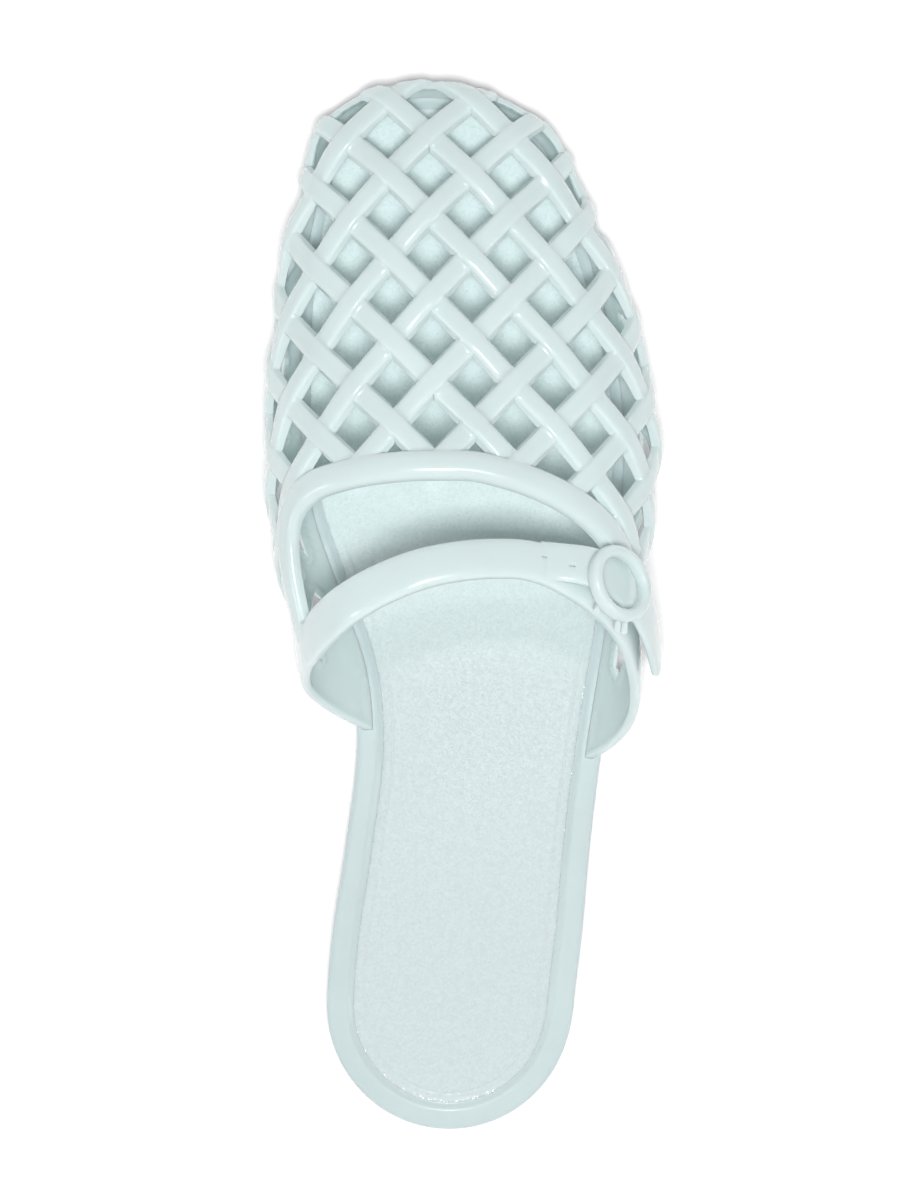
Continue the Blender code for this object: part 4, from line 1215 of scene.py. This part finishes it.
class MuleFinishes(bpy.types.PropertyGroup):
    """Colours and gloss of the shoe and its board"""
    upper_colour: colour_property("Upper", "Colour of the woven upper", "#d0dddd")
    sole_colour: colour_property("Sole", "Colour of the bottom unit", "#c4d2d3")
    ring_colour: colour_property("Ring", "Colour of the buckle", "#d0dddd")
    sheet_colour: colour_property("Sock sheet", "Colour of the sock sheet", "#c2cecf")
    # Painted light: a lighter, mintier sheet colour under the vamp, a painted glow in place of the shade
    # there
    painted_glow_colour: colour_property("Shaded sheet", "Colour of the sock sheet under the vamp", "#d6e6e6")
    board_colour: colour_property("Board", "Colour of the board under the shoe", "#fffdfd")
    fill_colour: colour_property("Fill", "Colour of the light from the surroundings", "#ffffff")
    gloss: share_property("Roughness", "Roughness of the moulded skin", 0.22)
    sole_gloss: share_property("Sole roughness", "Roughness of the sole's skin", 0.45)
    sheet_gloss: share_property("Sheet roughness", "Roughness of the sock sheet", 0.4)
    glow_depth: length_property("Glow depth", "How far light spreads inside the thin mouldings", 1.6 * MM)
    sole_glow_depth: length_property("Sole glow depth", "How far light spreads inside the sole", 0.5 * MM)
    sparkle: share_property("Sparkle", "Spread of the glitter's brightness", 0.042)
    key_power: FloatProperty(name="Key light", description="Power of the soft lamp", default=21.0,
                             min=0.0, unit="POWER")
    glint_power: FloatProperty(name="Glint light", description="Power of the lamp that draws the highlights",
                               default=6.0, min=0.0, unit="POWER")
    fill: FloatProperty(name="Fill light", description="Brightness of the white surroundings", default=0.41,
                        min=0.0)


class MULE_OT_outsole(bpy.types.Operator):
    """Build the bottom unit with its rim and tread"""
    bl_idname = "mule.outsole"
    bl_label = "Outsole"

    def execute(self, context):
        finishes = context.scene.mule_finishes
        skin = soft_pvc("soft_pvc_sole", finishes.sole_colour, finishes.sole_gloss, finishes.sole_glow_depth)
        piece = new_piece("mule_outsole", *outsole_mesh(context.scene.mule_sizes), skin)
        seat(piece, "outsole")
        return {"FINISHED"}


class MULE_OT_insole(bpy.types.Operator):
    """Build the glitter sock sheet"""
    bl_idname = "mule.insole"
    bl_label = "Insole"

    def execute(self, context):
        finishes = context.scene.mule_finishes
        # The second colour is the sheet's painted glow under the vamp
        colours = finishes.sheet_colour, finishes.painted_glow_colour
        sheet = glitter_sheet("glitter_sock_sheet", *colours, finishes.sheet_gloss, finishes.sparkle)
        points, faces, welt = insole_mesh(context.scene.mule_sizes)
        piece = new_piece("mule_insole", points, faces, sheet)
        piece.data.attributes.new(WELT, "FLOAT", "POINT").data.foreach_set("value", welt)
        seat(piece, "insole")
        return {"FINISHED"}


class MULE_OT_upper(bpy.types.Operator):
    """Build the woven upper with its straps and pinholes"""
    bl_idname = "mule.upper"
    bl_label = "Upper"

    def execute(self, context):
        finishes = context.scene.mule_finishes
        skin = soft_pvc("soft_pvc_upper", finishes.upper_colour, finishes.gloss, finishes.glow_depth)
        piece = new_piece("mule_upper", *upper_mesh(context.scene.mule_sizes), skin)
        combine(piece, "UNION", *tail_mesh())
        for row in PINHOLE_ROWS:
            combine(piece, "DIFFERENCE", *pinhole_mesh(*row))
        seat(piece, "upper")
        return {"FINISHED"}


class MULE_OT_buckle(bpy.types.Operator):
    """Build the ring buckle with its legs"""
    bl_idname = "mule.buckle"
    bl_label = "Buckle"

    def execute(self, context):
        finishes = context.scene.mule_finishes
        skin = soft_pvc("soft_pvc_ring", finishes.ring_colour, finishes.gloss, finishes.glow_depth)
        piece = new_piece("mule_buckle", *ring_mesh(), skin)
        for tip, root in leg_ends():
            combine(piece, "UNION", *rod_mesh(tip, root))
        seat(piece, "buckle")
        return {"FINISHED"}


class MULE_OT_stage(bpy.types.Operator):
    """Set the white board, the lamps, the surroundings and the camera"""
    bl_idname = "mule.stage"
    bl_label = "Stage"

    def execute(self, context):
        scene, finishes = context.scene, context.scene.mule_finishes
        half = 0.5 * FLOOR_SIZE / MM
        corners = np.array([(-half, -half, 0.0), (half, -half, 0.0), (half, half, 0.0), (-half, half, 0.0)])
        matt = white_board("white_board", finishes.board_colour)
        new_piece("board", corners, [(0, 1, 2, 3)], matt)
        # The key lamp lights the faces, and the small lamps only draw highlights on them
        key = new_lamp("key", KEY_PLACE, KEY_SIZE, finishes.key_power)
        key.visible_glossy = False
        glints = [new_lamp("glint", GLINT_PLACE, GLINT_SIZE, finishes.glint_power)]
        for place in EDGE_PLACES:
            glints.append(new_lamp("edge_glint", place, EDGE_SIZE, EDGE_SHARE * finishes.glint_power))
        for glint in glints:
            glint.visible_diffuse = False
        world = bpy.data.worlds.new("white_surroundings")
        world.use_nodes = True
        set_sockets(world.node_tree, world.node_tree.nodes["Background"], {
            "Color": (*finishes.fill_colour, 1.0), "Strength": finishes.fill})
        scene.world = world
        view = bpy.data.cameras.new("camera")
        view.sensor_fit = "VERTICAL"
        view.angle = math.radians(CAMERA_ANGLE)
        camera = bpy.data.objects.new("camera", view)
        camera.location = CAMERA_PLACE
        scene.collection.objects.link(camera)
        scene.camera = camera
        scene.view_settings.view_transform = "Standard"
        return {"FINISHED"}


class MULE_PT_panel(bpy.types.Panel):
    """Sizes, finishes and steps of the shoe"""
    bl_idname = "MULE_PT_panel"
    bl_label = "Jelly mule"
    bl_space_type = "VIEW_3D"
    bl_region_type = "UI"
    bl_category = "Mule"

    def draw(self, context):
        for group in (context.scene.mule_sizes, context.scene.mule_finishes):
            for name in group.__annotations__:
                self.layout.prop(group, name)
        for step in STEPS:
            self.layout.operator(step.bl_idname)


STEPS = (MULE_OT_outsole, MULE_OT_insole, MULE_OT_upper, MULE_OT_buckle, MULE_OT_stage)
CLASSES = (MuleSizes, MuleFinishes, *STEPS, MULE_PT_panel)


def register():
    for entry in CLASSES:
        bpy.utils.register_class(entry)
    bpy.types.Scene.mule_sizes = PointerProperty(type=MuleSizes)
    bpy.types.Scene.mule_finishes = PointerProperty(type=MuleFinishes)


def unregister():
    del bpy.types.Scene.mule_finishes
    del bpy.types.Scene.mule_sizes
    for entry in reversed(CLASSES):
        bpy.utils.unregister_class(entry)


def main():
    """Build the shoe and its stage in order."""
    register()
    bpy.ops.mule.outsole()
    bpy.ops.mule.insole()
    bpy.ops.mule.upper()
    bpy.ops.mule.buckle()
    bpy.ops.mule.stage()


if __name__ == "__main__":
    main()
